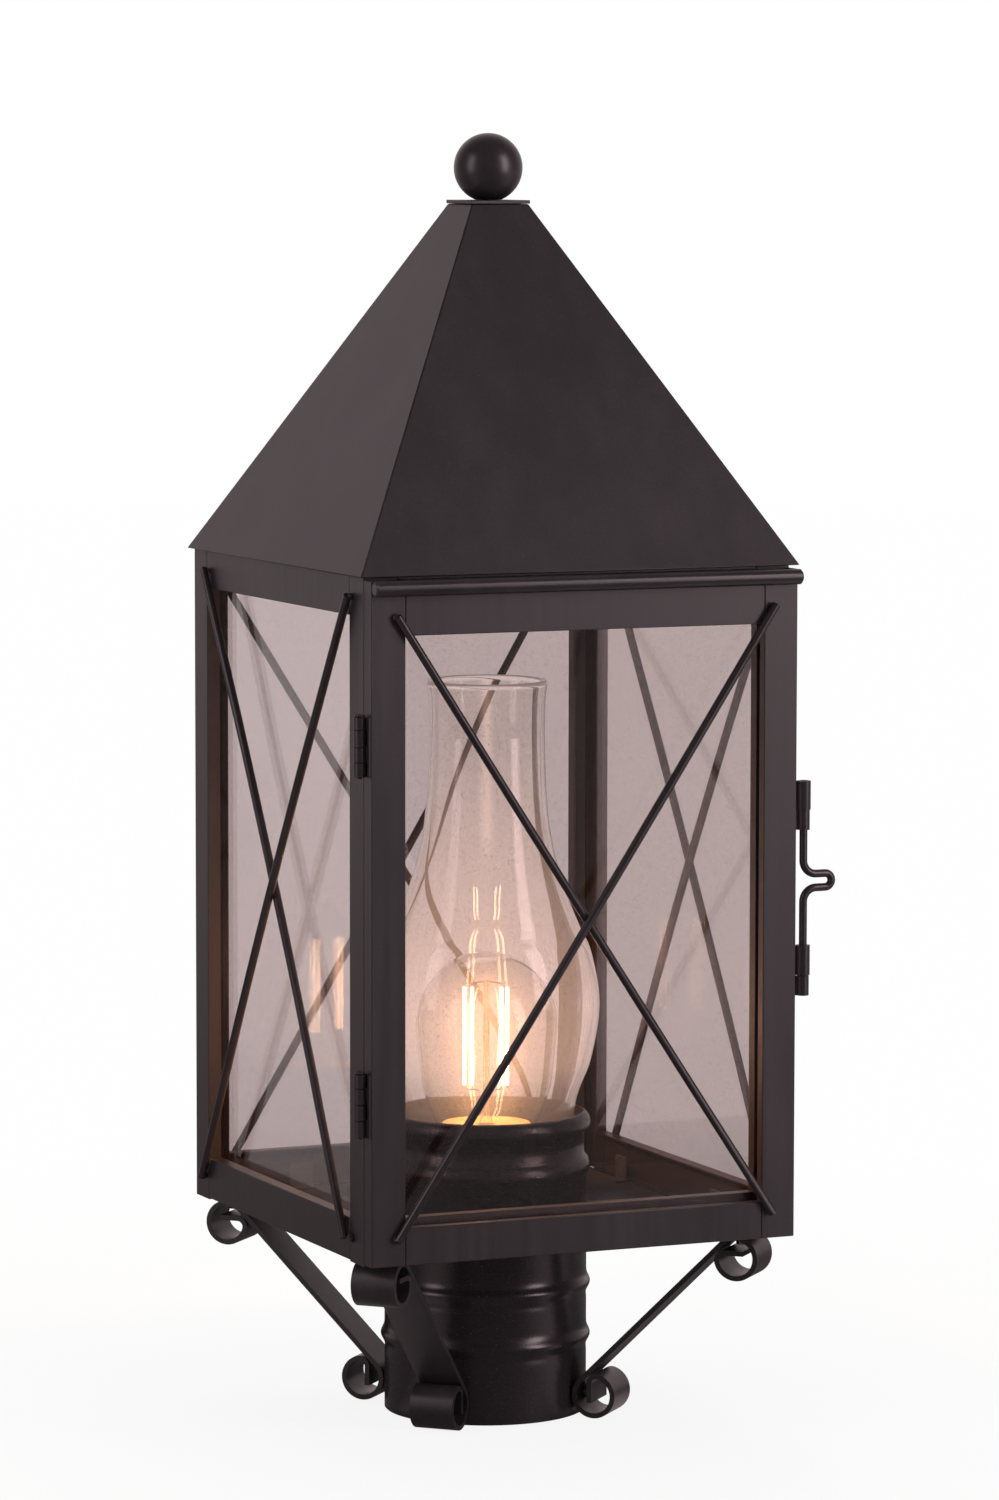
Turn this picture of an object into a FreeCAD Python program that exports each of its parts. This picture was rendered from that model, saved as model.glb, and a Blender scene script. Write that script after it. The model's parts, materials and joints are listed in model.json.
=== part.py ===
import FreeCAD, Part
import math
import os
import re

from FreeCAD import Vector, Placement, Rotation

# Post top lantern, millimetres. Origin at the centre of the fitter's bottom rim, +Z up,
# the door faces -Y and its hinges are at -X.

document = FreeCAD.newDocument("PostTopLantern")
sheet = document.addObject("Spreadsheet::Sheet", "Sizes")

sizes = {
    # fitter tube that slides over a 3 in post
    "fitterLength": 77.2, "fitterRadius": 40.2, "fitterWall": 1.2,
    "beadRise": 2.3, "beadLow": 29.9, "beadHigh": 50.9, "wireHole": 17.3,
    # case
    "bodyHalf": 89.0, "bodyHeight": 262.5, "gauge": 1.0, "fit": 0.1,
    "postLeg": 14.0, "returnDepth": 5.4, "panGauge": 1.2,
    "topRail": 15.0, "bottomRail": 16.4, "sillRail": 17.4, "railLift": 0.6, "roofSeat": 0.2,
    "paneGauge": 3.0, "paneHeadroom": 3.7, "clipGauge": 0.8, "clipWidth": 10.0, "clipPlace": 45.0,
    # crossed rods
    "rodRadius": 1.6, "rodStand": 0.3, "rodSpread": 1.65, "rodInset": 11.0, "rodSkew": 4.0,
    "rodTop": 7.5, "rodFoot": 9.0, "doorRodInset": 10.0, "doorRodTop": 14.4, "doorRodFoot": 10.7,
    # door
    "doorDepth": 7.7, "doorGap": 0.3, "doorLift": 0.8, "doorDrop": 1.1, "doorPaneSet": 4.6,
    "doorPaneGauge": 2.0, "doorPaneLap": 5.0, "doorTopRail": 20.9, "doorBottomRail": 14.5,
    "barRadius": 3.0, "barDrop": 3.9, "barBevel": 0.7,
    # hinges and latch
    "hingeOut": 2.65, "hingeAhead": 2.7, "knuckleRadius": 2.35, "hingePin": 1.0,
    "hingeHigh": 210.1, "hingeLow": 74.5, "leafGauge": 0.8, "leafReach": 9.5, "leafClear": 0.55,
    "latchFoot": 103.3, "latchOut": 3.3, "latchSet": 0.4, "latchWire": 1.55, "latchTall": 66.0,
    "guideRadius": 2.75, "sleeveRadius": 2.42, "lowGuide": 11.7, "sleeveFoot": 56.7,
    "sleeveTop": 64.6, "guideTop": 75.8, "latchCupTall": 8.0, "loopHigh": 39.3, "loopGap": 5.4,
    "loopBend": 5.4, "loopReach": 12.15,
    # roof and finial
    "roofHalf": 91.75, "roofRise": 138.3, "roofTopHalf": 12.0, "roofShift": 1.5, "roofGauge": 0.8,
    "capHalf": 12.5, "capGauge": 1.4, "ballRadius": 13.5, "ballRise": 12.6, "studRadius": 2.5,
    "plateDrop": 10.8, "plateGauge": 1.5, "nutHalf": 4.6, "nutTall": 3.6,
    # scroll brackets
    "scrollRadius": 8.0, "scrollWidth": 18.0, "scrollGauge": 2.0, "scrollInset": 17.365,
    "scrollFoot": 9.1, "tailSet": 1.9, "tailTall": 7.6, "screwRadius": 1.5, "screwHead": 2.7,
    "screwHeadTall": 1.8,
    # chimney, its cup and its seat
    "cupRadius": 38.8, "cupHeight": 40.8, "cupBead": 15.7, "airHole": 3.0, "airHoleRise": 8.5,
    "seatRadius": 30.0, "seatHeight": 19.4, "seatGauge": 1.0,
    "chimneyWall": 2.0, "chimneyBase": 34.8, "chimneyBulge": 44.9, "chimneyNeck": 23.0,
    "chimneyHeight": 192.6,
    # bulb, its holder and the clamp screws round the holder
    "holderRadius": 17.0, "holderBore": 14.6, "holderTall": 21.0, "clampCircle": 23.5,
    "clampRadius": 1.75, "clampHead": 3.2, "clampHeadTall": 2.0, "capRadius": 13.1, "capTall": 21.0,
    "bulbRadius": 28.2, "bulbHeight": 102.2, "bulbDome": 28.8, "bulbWall": 0.8,
    "filamentRadius": 1.1, "filamentPlace": 7.0, "filamentRise": 49.8, "filamentTall": 38.4,
}
for row, (alias, value) in enumerate(sizes.items(), start=1):
    sheet.set("A%d" % row, alias)
    sheet.set("B%d" % row, str(value))
    sheet.setAlias("B%d" % row, alias)
document.recompute()

aliasPattern = re.compile(r"\b(" + "|".join(sizes) + r")\b")
parts = {}


def size(alias):
    """Value of one cell of the sheet."""
    return float(getattr(sheet, alias))


def bind(item, field, text):
    """Bind one field of an object to an expression in the sheet's aliases."""
    item.setExpression(field, aliasPattern.sub(r"Sizes.\1", text))


def keep(name, item, turn=0.0):
    """Name a finished piece and turn it about the lantern's axis."""
    if turn and item.TypeId == "Part::Box":
        item = group(name, [item])
    item.Label = name
    if turn:
        item.Placement = Placement(Vector(), Rotation(Vector(0, 0, 1), turn)) * item.Placement
    parts[name] = item
    return item


def shaped(name, shape, turn=0.0):
    """Keep a piece whose shape is worked out in code from the sheet."""
    item = document.addObject("Part::Feature", name)
    item.Shape = shape
    return keep(name, item, turn)


def block(name, across, deep, high):
    """Box between two expressions on each axis."""
    item = document.addObject("Part::Box", name)
    for field, axis, (low, top) in zip(("Length", "Width", "Height"), "xyz", (across, deep, high)):
        bind(item, field, "(%s) - (%s)" % (top, low))
        bind(item, "Placement.Base." + axis, low)
    return item


def less(name, base, *tools):
    """Base with the tools cut away."""
    for number, tool in enumerate(tools):
        item = document.addObject("Part::Cut", "%s_cut%d" % (name, number))
        item.Base = base
        item.Tool = tool
        base = item
    return base


def joined(name, *items):
    """One solid from touching items."""
    item = document.addObject("Part::MultiFuse", name + "_fuse")
    item.Shapes = list(items)
    return item


def group(name, items):
    """Separate solids that share one name."""
    item = document.addObject("Part::Compound", name)
    item.Links = list(items)
    return item


def tube(outer, inner, low, high, x=0.0, y=0.0):
    """Upright tube, or a solid round bar where inner is zero."""
    base = Vector(x, y, low)
    solid = Part.makeCylinder(outer, high - low, base)
    if inner:
        solid = solid.cut(Part.makeCylinder(inner, high - low + 2, base - Vector(0, 0, 1)))
    return solid


def slab(low, high):
    """Box between two corner points."""
    return Part.makeBox(high[0] - low[0], high[1] - low[1], high[2] - low[2], Vector(*low))


def spun(edges):
    """Solid of revolution about Z from a closed outline in the XZ plane."""
    face = Part.Face(Part.Wire(Part.__sortEdges__(edges)))
    return face.revolve(Vector(), Vector(0, 0, 1), 360)


def line(start, end):
    """Straight stretch of an outline given as radius and height."""
    return Part.makeLine(Vector(start[0], 0, start[1]), Vector(end[0], 0, end[1]))


def bow(start, middle, end):
    """Round stretch of an outline through three points."""
    points = [Vector(radius, 0, height) for radius, height in (start, middle, end)]
    return Part.Arc(*points).toShape()


def lines(*points):
    """Straight stretches from point to point."""
    return [line(start, end) for start, end in zip(points, points[1:])]


def curve(points, startWay, endWay):
    """Smooth stretch of an outline through points, leaving and arriving in the given ways."""
    spline = Part.BSplineCurve()
    spline.interpolate([Vector(radius, 0, height) for radius, height in points],
                       InitialTangent=Vector(startWay[0], 0, startWay[1]),
                       FinalTangent=Vector(endWay[0], 0, endWay[1]))
    return spline.toShape()


# heights and planes used all over, as expressions and as numbers
floorText = "(fitterLength + panGauge)"
eaveText = "(fitterLength + bodyHeight)"
frameTopText = "(fitterLength + bodyHeight - roofSeat)"
paneTopText = "(fitterLength + bodyHeight - paneHeadroom)"
doorFaceText = "(-bodyHalf - doorDepth)"
doorBackText = "(-bodyHalf - doorGap)"

underside = size("fitterLength")
floorTop = underside + size("panGauge")
eave = underside + size("bodyHeight")
roofTop = eave + size("roofRise")
half = size("bodyHalf")
fit = size("fit")
gauge = size("gauge")
doorFace = -half - size("doorDepth")
sideTurns = {"back": 0, "left": 90, "front": 180, "right": -90}
cupBase = floorTop + fit

clampRadius = size("clampRadius")
clampPlaces = [(size("clampCircle") * math.cos(math.radians(angle)),
                size("clampCircle") * math.sin(math.radians(angle))) for angle in (90, 210, 330)]
cornerSigns = [(1, 1), (-1, 1), (-1, -1), (1, -1)]
# the scrolls' upper screws stand on the floor's diagonals, set in from its corners
bracketText = "(bodyHalf - scrollInset / sqrt(2))"
bracketReach = half * math.sqrt(2) - size("scrollInset")


def additive(body, kind, name, fields):
    """One primitive feature of a body, bound to the sheet."""
    feature = body.newObject("PartDesign::" + kind, name)
    for field, text in fields.items():
        bind(feature, field, text)
    document.recompute()
    return feature


def screwHole(body, name, x, y, radius, low, high):
    """Upright hole through a body."""
    feature = body.newObject("PartDesign::SubtractiveCylinder", name)
    feature.Radius = radius
    bind(feature, "Height", "(%s) - (%s) + 2" % (high, low))
    bind(feature, "Placement.Base.x", x)
    bind(feature, "Placement.Base.y", y)
    bind(feature, "Placement.Base.z", "(%s) - 1" % low)
    document.recompute()


def makeFitter():
    """Tube with two rolled beads and an inward flange that the floor is clamped to."""
    body = document.addObject("PartDesign::Body", "post_fitter")
    top = "fitterLength - fit"
    additive(body, "AdditiveCylinder", "tubeOutside", {"Radius": "fitterRadius", "Height": top})
    for bead in ("beadLow", "beadHigh"):
        additive(body, "AdditiveTorus", bead + "Ring",
                 {"Radius1": "fitterRadius - fitterWall / 2", "Radius2": "beadRise + fitterWall / 2",
                  "Placement.Base.z": bead})
    additive(body, "SubtractiveCylinder", "tubeBore",
             {"Radius": "fitterRadius - fitterWall", "Height": "%s - fitterWall" % top})
    additive(body, "SubtractiveCylinder", "wirePassage", {"Radius": "wireHole", "Height": "fitterLength"})
    for number, (x, y) in enumerate(clampPlaces):
        screwHole(body, "clampHole%d" % number, str(x), str(y), clampRadius + fit,
                  "fitterLength - 4 * fitterWall", "fitterLength")
    for number, (right, back) in enumerate(cornerSigns):
        angle = math.degrees(math.atan2(back, right))
        feature = body.newObject("PartDesign::SubtractiveCylinder", "bracketHole%d" % number)
        feature.Radius = size("screwRadius") + fit
        feature.Height = 5 * size("fitterWall")
        way = Rotation(Vector(0, 0, 1), angle) * Rotation(Vector(0, 1, 0), 90)
        reach = size("fitterRadius") - 3 * size("fitterWall")
        flat = Rotation(Vector(0, 0, 1), angle).multVec(Vector(reach, 0, size("scrollFoot")))
        feature.Placement = Placement(flat, way)
        document.recompute()
    keep("post_fitter", body)


def makeFloor():
    """Square pan between the posts and rails."""
    body = document.addObject("PartDesign::Body", "floor_pan")
    edge = "(bodyHalf - returnDepth - 2 * fit)"
    additive(body, "AdditiveBox", "panSheet",
             {"Length": "2 * " + edge, "Width": "2 * " + edge, "Height": "panGauge",
              "Placement.Base.x": "-" + edge, "Placement.Base.y": "-" + edge,
              "Placement.Base.z": "fitterLength"})
    additive(body, "SubtractiveCylinder", "panPassage",
             {"Radius": "wireHole", "Height": "panGauge + 2", "Placement.Base.z": "fitterLength - 1"})
    for number, (x, y) in enumerate(clampPlaces):
        screwHole(body, "panClampHole%d" % number, str(x), str(y), clampRadius + fit,
                  "fitterLength", floorText)
    for number, (right, back) in enumerate(cornerSigns):
        screwHole(body, "panBracketHole%d" % number, "%d * %s" % (right, bracketText),
                  "%d * %s" % (back, bracketText), size("screwRadius") + fit,
                  "fitterLength", floorText)
    keep("floor_pan", body)


def makePosts():
    """Folded corner posts: two legs with inward returns."""
    names = ("post_back_right", "post_back_left", "post_front_left", "post_front_right")
    for name, turn in zip(names, (0, 90, 180, 270)):
        leg = ("bodyHalf - postLeg", "bodyHalf")
        hollow = ("bodyHalf - postLeg + gauge", "bodyHalf - gauge")
        inner = ("bodyHalf - postLeg - 1", "bodyHalf - returnDepth")
        tall = ("fitterLength", frameTopText)
        longer = ("fitterLength - 1", frameTopText + " + 1")
        post = less(name, block(name + "_a", leg, leg, tall),
                    block(name + "_b", hollow, hollow, longer), block(name + "_c", inner, inner, longer))
        keep(name, post, turn)


def makeRail(name, turn, low, high):
    """Channel between two posts, open towards the inside."""
    reach = "(bodyHalf - postLeg - fit)"
    web = block(name + "_a", ("-" + reach, reach), ("bodyHalf - returnDepth", "bodyHalf"), (low, high))
    room = block(name + "_b", ("-%s - 1" % reach, reach + " + 1"),
                 ("bodyHalf - returnDepth - 1", "bodyHalf - gauge"), (low + " + gauge", high + " - gauge"))
    keep(name, less(name, web, room), turn)


def makeRails():
    """Top and bottom rails of the four sides."""
    base = "fitterLength + railLift"
    for side, turn in sideTurns.items():
        makeRail("top_rail_" + side, turn, frameTopText + " - topRail", frameTopText)
        height = "sillRail" if side == "front" else "bottomRail"
        makeRail("bottom_rail_" + side, turn, base, "%s + %s" % (base, height))


def makePanes():
    """Glass behind the posts and rails of the three fixed sides."""
    outside = "(bodyHalf - returnDepth - fit)"
    inside = outside + " - paneGauge"
    bottom = floorText + " + fit"
    for side in ("back", "left", "right"):
        reach = "(%s - 2 * fit)" % (inside if side == "back" else outside)
        name = "pane_" + side
        pane = block(name + "_a", ("-" + reach, reach), (inside, outside), (bottom, paneTopText))
        keep(name, pane, sideTurns[side])


def makePaneClips():
    """Bent tabs on the floor and in the top rails that hold the fixed panes."""
    behind = "(bodyHalf - returnDepth - 2 * fit - paneGauge)"
    sheetSpan = (behind + " - clipGauge", behind)
    bottom = floorText + " + fit"
    head = "(%s + 3 * fit)" % paneTopText
    clips = []
    for side in ("back", "left", "right"):
        for sign in ("-", ""):
            across = (sign + "clipPlace - clipWidth / 2", sign + "clipPlace + clipWidth / 2")
            tag = "clip_%s%d" % (side, len(clips))
            foot = joined(tag, block(tag + "_a", across, (behind + " - clipWidth / 2", behind),
                                     (bottom, bottom + " + clipGauge")),
                          block(tag + "_b", across, sheetSpan, (bottom, bottom + " + clipWidth")))
            hookTall = (head + " - clipWidth", head + " + clipGauge")
            hook = joined(tag + "t", block(tag + "_c", across, (sheetSpan[0], "bodyHalf - gauge - fit"),
                                           (head, head + " + clipGauge")),
                          block(tag + "_d", across, sheetSpan, hookTall))
            for item in (foot, hook):
                item.Placement = Placement(Vector(), Rotation(Vector(0, 0, 1), sideTurns[side]))
                clips.append(item)
    keep("pane_clips", group("pane_clips", clips))


def rod(start, end, face, spread):
    """Round rod laid across a side that faces +Y, bowed by spread at its middle."""
    radius = size("rodRadius")
    rest = face + radius + size("rodStand")
    first = Vector(start[0], rest, start[1])
    last = Vector(end[0], rest, end[1])
    middle = (first + last) * 0.5
    middle.y = face + radius + spread
    path = Part.Arc(first, middle, last)
    ring = Part.Wire(Part.makeCircle(radius, first, path.tangent(path.FirstParameter)[0]))
    return Part.Wire(path.toShape()).makePipeShell([ring], True, False)


def makeRods():
    """Two crossed rods on each side, the second in front of the first where they cross."""
    spread = size("rodSpread")
    low = underside + size("rodFoot")
    high = eave - size("rodTop")
    wide = half - size("rodInset")
    narrow = wide - size("rodSkew")
    for side in ("back", "left", "right"):
        behind = rod((-narrow, low), (narrow, high), half, -spread)
        ahead = rod((-wide, high), (wide, low), half, spread)
        shaped("rods_" + side, Part.makeCompound([behind, ahead]), sideTurns[side])
    low = underside + size("doorRodFoot")
    high = eave - size("doorRodTop")
    wide = half - size("doorRodInset")
    behind = rod((wide, high), (-wide, low), -doorFace, -spread)
    ahead = rod((-wide, high), (wide, low), -doorFace, spread)
    shaped("door_rods", Part.makeCompound([behind, ahead]), 180)


def frustum(low, high, halfLow, halfHigh, shift):
    """Solid between two squares centred on the roof's axis."""
    wires = []
    for height, reach in ((low, halfLow), (high, halfHigh)):
        corners = [Vector(x * reach, y * reach + shift, height) for x, y in cornerSigns]
        wires.append(Part.makePolygon(corners + corners[:1]))
    return Part.makeLoft(wires, True, True)


def makeRoof():
    """Four folded sheets, each with a flat edge that lies on the top rails."""
    shift = -size("roofShift")
    reach = size("roofHalf")
    crown = size("roofTopHalf")
    run = reach - crown
    wall = size("roofGauge") * math.hypot(run, size("roofRise")) / size("roofRise")
    over = 0.01
    slope = run / size("roofRise")
    shell = frustum(eave, roofTop, reach, crown, shift)
    room = frustum(eave - over, roofTop + over, reach - wall + over * slope,
                   crown - wall - over * slope, shift)
    lip = frustum(eave, eave + size("roofGauge"), reach - wall / 2,
                  reach - wall / 2 - size("roofGauge") * slope, shift)
    inner = half - size("returnDepth")
    lip = lip.cut(slab((-inner, -inner, eave - 1), (inner, inner, eave + 5)))
    shell = shell.cut(room).fuse(lip)
    for side, turn in sideTurns.items():
        wedge = Part.makePolygon([Vector(0, fit, eave - 1), Vector(2 * reach, 2 * reach + fit, eave - 1),
                                  Vector(-2 * reach, 2 * reach + fit, eave - 1), Vector(0, fit, eave - 1)])
        prism = Part.Face(wedge).extrude(Vector(0, 0, size("roofRise") + 2))
        prism.rotate(Vector(), Vector(0, 0, 1), turn)
        prism.translate(Vector(0, shift, 0))
        shaped("roof_" + side, shell.common(prism).removeSplitter())


def makeFinial():
    """Cap plate, ball, the stud that holds them and the clamp plate under the roof's top."""
    body = document.addObject("PartDesign::Body", "cap_plate")
    base = "(%s + roofRise + fit)" % eaveText
    additive(body, "AdditiveBox", "capSheet",
             {"Length": "2 * capHalf", "Width": "2 * capHalf", "Height": "capGauge",
              "Placement.Base.x": "-capHalf", "Placement.Base.y": "-capHalf - roofShift",
              "Placement.Base.z": base})
    additive(body, "SubtractiveCylinder", "capHole",
             {"Radius": "studRadius + fit", "Height": "capGauge + 2",
              "Placement.Base.y": "-roofShift", "Placement.Base.z": base + " - 1"})
    keep("cap_plate", body)
    middle = -size("roofShift")
    capTop = roofTop + fit + size("capGauge")
    centre = capTop + size("ballRise")
    stud = size("studRadius")
    ball = Part.makeSphere(size("ballRadius"), Vector(0, middle, centre))
    ball = ball.cut(slab((-20, -20, capTop - 20), (20, 20, capTop + fit)))
    ball = ball.cut(tube(stud + fit, 0, capTop - 1, centre + 4, 0, middle))
    shaped("finial_ball", ball)
    plateTop = roofTop - size("plateDrop")
    plateLow = plateTop - size("plateGauge")
    nutLow = plateLow - size("nutTall")
    shaped("finial_stud", tube(stud, 0, nutLow - 0.9, centre + 3.5, 0, middle))
    slope = (size("roofHalf") - size("roofTopHalf")) / size("roofRise")
    wall = size("roofGauge") * math.hypot(1, slope)
    reach = size("roofTopHalf") + slope * (roofTop - plateTop) - wall - 0.3
    plate = frustum(plateLow, plateTop, reach + size("plateGauge") * slope, reach, middle)
    corners = [Vector(size("nutHalf") * math.cos(k * math.pi / 3),
                      size("nutHalf") * math.sin(k * math.pi / 3) + middle, nutLow) for k in range(7)]
    nut = Part.Face(Part.makePolygon(corners)).extrude(Vector(0, 0, size("nutTall")))
    clamp = plate.fuse(nut).cut(tube(stud + fit, 0, nutLow - 1, plateTop + 1, 0, middle))
    shaped("finial_clamp", clamp)


def band(centre, mean, begin, sweep):
    """Part of a rolled strip: a sector of a ring, flat on the XY plane."""
    thick = size("scrollGauge") / 2
    width = size("scrollWidth")
    ring = Part.makeCylinder(mean + thick, width, Vector(), Vector(0, 0, 1), sweep)
    ring = ring.cut(Part.makeCylinder(mean - thick, width + 2, Vector(0, 0, -1)))
    ring.rotate(Vector(), Vector(0, 0, 1), begin)
    ring.translate(centre)
    return ring


def makeBrackets():
    """C-scrolls from the fitter to the underside, and the screws at their two contacts."""
    mean = size("scrollRadius")
    thick = size("scrollGauge") / 2
    width = size("scrollWidth")
    foot = Vector(size("fitterRadius") + fit + mean + thick, size("scrollFoot"), 0)
    head = Vector(bracketReach, underside - fit - mean - thick, 0)
    way = (head - foot).normalize()
    lean = math.degrees(math.atan2(way.y, way.x))
    tight = mean * 0.4
    inset = mean - tight
    tailSet = size("tailSet")
    stop = math.degrees(math.acos((tight - tailSet) / inset))
    stopWay = Vector(math.cos(math.radians(stop)), math.sin(math.radians(stop)), 0)
    tightCentre = foot + stopWay * inset
    ring = band(foot, mean, lean + 90, 360 + stop - lean - 90)
    bend = band(tightCentre, tight, stop, 180 - stop)
    tail = slab((foot.x - tailSet - thick, tightCentre.y - size("tailTall"), 0),
                (foot.x - tailSet + thick, tightCentre.y, width))
    run = slab((0, mean - thick, 0), ((head - foot).Length, mean + thick, width))
    run.rotate(Vector(), Vector(0, 0, 1), lean)
    run.translate(foot)
    curl = ring.fuse([bend, tail])
    strip = run.fuse([curl, curl.mirror((foot + head) * 0.5, way)]).removeSplitter()
    strip.translate(Vector(0, 0, -width / 2))
    strip.rotate(Vector(), Vector(1, 0, 0), 90)
    radius = size("screwRadius")
    strip = strip.cut(tube(radius + fit, 0, head.y + mean / 2, underside + 1, head.x))
    wayOut = Vector(1, 0, 0)
    inner = size("fitterRadius") - size("fitterWall") + fit
    strip = strip.cut(Part.makeCylinder(radius + fit, foot.x - mean / 2 - inner, Vector(inner, 0, foot.y),
                                        wayOut))
    bracketNames = ("bracket_back_right", "bracket_back_left", "bracket_front_left", "bracket_front_right")
    screws = []
    headTall = size("screwHeadTall")
    proud = 0.7
    for number, name in enumerate(bracketNames):
        turn = 45 + 90 * number
        shaped(name, strip.Solids[0].copy(), turn)
        headTop = head.y + mean - thick - proud
        upper = tube(radius, 0, headTop, floorTop + 2, head.x)
        upper = upper.fuse(tube(size("screwHead"), 0, headTop - headTall, headTop, head.x))
        headFace = foot.x - mean + thick + proud
        lower = Part.makeCylinder(radius, headFace - inner, Vector(inner, 0, foot.y), wayOut)
        lowerHead = Part.makeCylinder(size("screwHead"), headTall, Vector(headFace, 0, foot.y), wayOut)
        lower = lower.fuse(lowerHead)
        for screw in (upper, lower):
            screw.rotate(Vector(), Vector(0, 0, 1), turn)
            screws.append(screw)
    shaped("bracket_screws", Part.makeCompound(screws))


def makeClampScrews():
    """Screws that clamp cup and floor to the fitter's threaded flange, flush underneath."""
    flangeBottom = underside - fit - size("fitterWall")
    headBase = cupBase + gauge + fit
    screws = []
    for x, y in clampPlaces:
        screw = tube(clampRadius, 0, flangeBottom + fit, headBase + 1, x, y)
        head = tube(size("clampHead"), 0, headBase, headBase + size("clampHeadTall"), x, y)
        screws.append(screw.fuse(head))
    shaped("clamp_screws", Part.makeCompound(screws))


def makeCup():
    """Spun cup round the foot of the chimney, with a bead, a rolled rim and a round air hole."""
    radius = size("cupRadius")
    top = cupBase + size("cupHeight")
    hole = size("wireHole")
    foot = radius + gauge
    beadLow = cupBase + size("cupBead")
    beadTop = beadLow + 8
    rimLow = top - 8.1
    outside = lines((hole, cupBase), (foot, cupBase), (foot, beadLow))
    outside += [bow((foot, beadLow), (radius + 2.4, beadLow + 3.6), (radius, beadTop))]
    outside += lines((radius, beadTop), (radius, rimLow))
    outside += [bow((radius, rimLow), (radius + 2.5, (rimLow + top) / 2), (radius, top))]
    inside = lines((radius, top), (radius - gauge, top), (radius - gauge, beadTop))
    inside += [bow((radius - gauge, beadTop), (radius + 1.3, beadLow + 3.6), (foot - gauge, beadLow))]
    inside += lines((foot - gauge, beadLow), (foot - gauge, cupBase + gauge),
                    (hole, cupBase + gauge), (hole, cupBase))
    cup = spun(outside + inside)
    for x, y in clampPlaces:
        cup = cup.cut(tube(clampRadius + fit, 0, cupBase - 1, cupBase + 2, x, y))
    wall = size("seatRadius")
    holeStart = Vector(0, -foot - 1, cupBase + size("airHoleRise"))
    airHole = Part.makeCylinder(size("airHole"), foot - wall, holeStart, Vector(0, 1, 0))
    shaped("chimney_cup", cup.cut(airHole))
    seatTop = cupBase + size("seatHeight")
    thick = size("seatGauge")
    seat = tube(wall, wall - thick, cupBase + gauge + fit, seatTop)
    seat = seat.fuse(tube(radius - gauge - 0.2, wall - thick, seatTop - thick, seatTop))
    shaped("chimney_seat", seat)


def makeChimney():
    """Glass chimney: foot in the cup, round belly, long neck and a small rim."""
    wall = size("chimneyWall")
    base = cupBase + size("seatHeight") + 0.3
    belly = size("chimneyBulge")
    neck = size("chimneyNeck")
    foot = size("chimneyBase")
    tall = size("chimneyHeight")
    spots = ((0.0, foot), (0.125, foot + 0.7), (0.22, belly - 3.2), (0.333, belly), (0.436, belly - 3.2),
             (0.492, belly - 7.9), (0.575, neck + 7.7), (0.66, neck + 3.2), (0.745, neck + 1.0), (0.86, neck))
    outer = [(radius, base + share * tall) for share, radius in spots]
    inner = [(radius - wall, height) for radius, height in outer]
    top = base + tall
    last = outer[-1][1]
    rim = curve([outer[-1], (neck + 1.0, top - 1.0)], (0, 1), (0.25, 1))
    edge = bow((neck + 1.0, top - 1.0), (neck + 0.2, top), (neck - wall + 0.4, top - 0.5))
    edges = [curve(outer, (0, 1), (0, 1)), rim, edge]
    edges += lines((neck - wall + 0.4, top - 0.5), (neck - wall, last))
    edges += [curve(inner[::-1], (0, -1), (0, -1))]
    edges += lines(inner[0], outer[0])
    shaped("chimney_glass", spun(edges))


def makeHolder():
    """Lamp holder in the floor's passage, its screw shell and its centre contact."""
    outer = size("holderRadius")
    bore = size("holderBore")
    flange = cupBase + gauge + fit
    low = underside - 1.1
    base = low + 2
    top = flange + size("holderTall")
    holder = tube(outer, bore, low, top).fuse(tube(outer + 2.6, bore, flange, flange + 1.4))
    holder = holder.fuse(tube(outer, 0, low, base))
    shaped("lamp_holder", holder)
    shaped("holder_shell", tube(bore - 0.1, bore - 0.7, low + 5, top - 1))
    shaped("holder_contact", tube(3, 0, base + fit, underside + 2.5))


def makeBulb():
    """Bulb: glass, screw cap, stem with its arms and two lit filaments."""
    cap = size("capRadius")
    low = underside + 2.8
    capTop = low + size("capTall")
    edges = lines((0, low), (4.7, low), (4.7, low + 1), (cap, low + 3), (cap, capTop), (0, capTop), (0, low))
    shaped("bulb_cap", spun(edges))
    base = capTop + 0.1
    top = low + size("bulbHeight")
    widest = top - size("bulbDome")
    radius = size("bulbRadius")
    wall = size("bulbWall")
    outer = [(cap + 0.4, base), (cap + 1.4, base + 6), (21.0, base + 15), (radius, widest)]
    inner = [(r - wall, z) for r, z in outer]
    dome = curve([(radius, widest), (radius * 0.71, widest + 20.4), (0, top)], (0, 1), (-1, 0))
    innerDome = curve([(0, top - wall), (radius * 0.71 - wall * 0.7, widest + 20.4 - wall * 0.7),
                       (radius - wall, widest)], (1, 0), (0, -1))
    edges = [curve(outer, (0, 1), (0, 1)), dome, innerDome, curve(inner[::-1], (0, -1), (0, -1))]
    edges += lines((0, top), (0, top - wall))
    edges += lines(inner[0], outer[0])
    shaped("bulb_glass", spun(edges))
    lit = low + size("filamentRise")
    length = size("filamentTall")
    place = size("filamentPlace")
    stem = spun(lines((0, base), (8, base), (4, base + 9), (2.2, base + 16), (1.6, lit + length + 3),
                      (0, lit + length + 3), (0, base)))
    thin = 0.4
    reach = size("filamentRadius")
    angles = (-23.65, 156.35)
    filaments = []
    for angle in angles:
        across = Vector(math.cos(math.radians(angle)), math.sin(math.radians(angle)), 0)
        for height in (lit - thin - fit, lit + length + thin + fit):
            start = Vector(0, 0, height)
            stem = stem.fuse(Part.makeCylinder(thin, place + reach, start, across))
        filaments.append(tube(reach, 0, lit, lit + length, across.x * place, across.y * place))
    shaped("bulb_stem", stem)
    shaped("bulb_filaments", Part.makeCompound(filaments))


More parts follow.
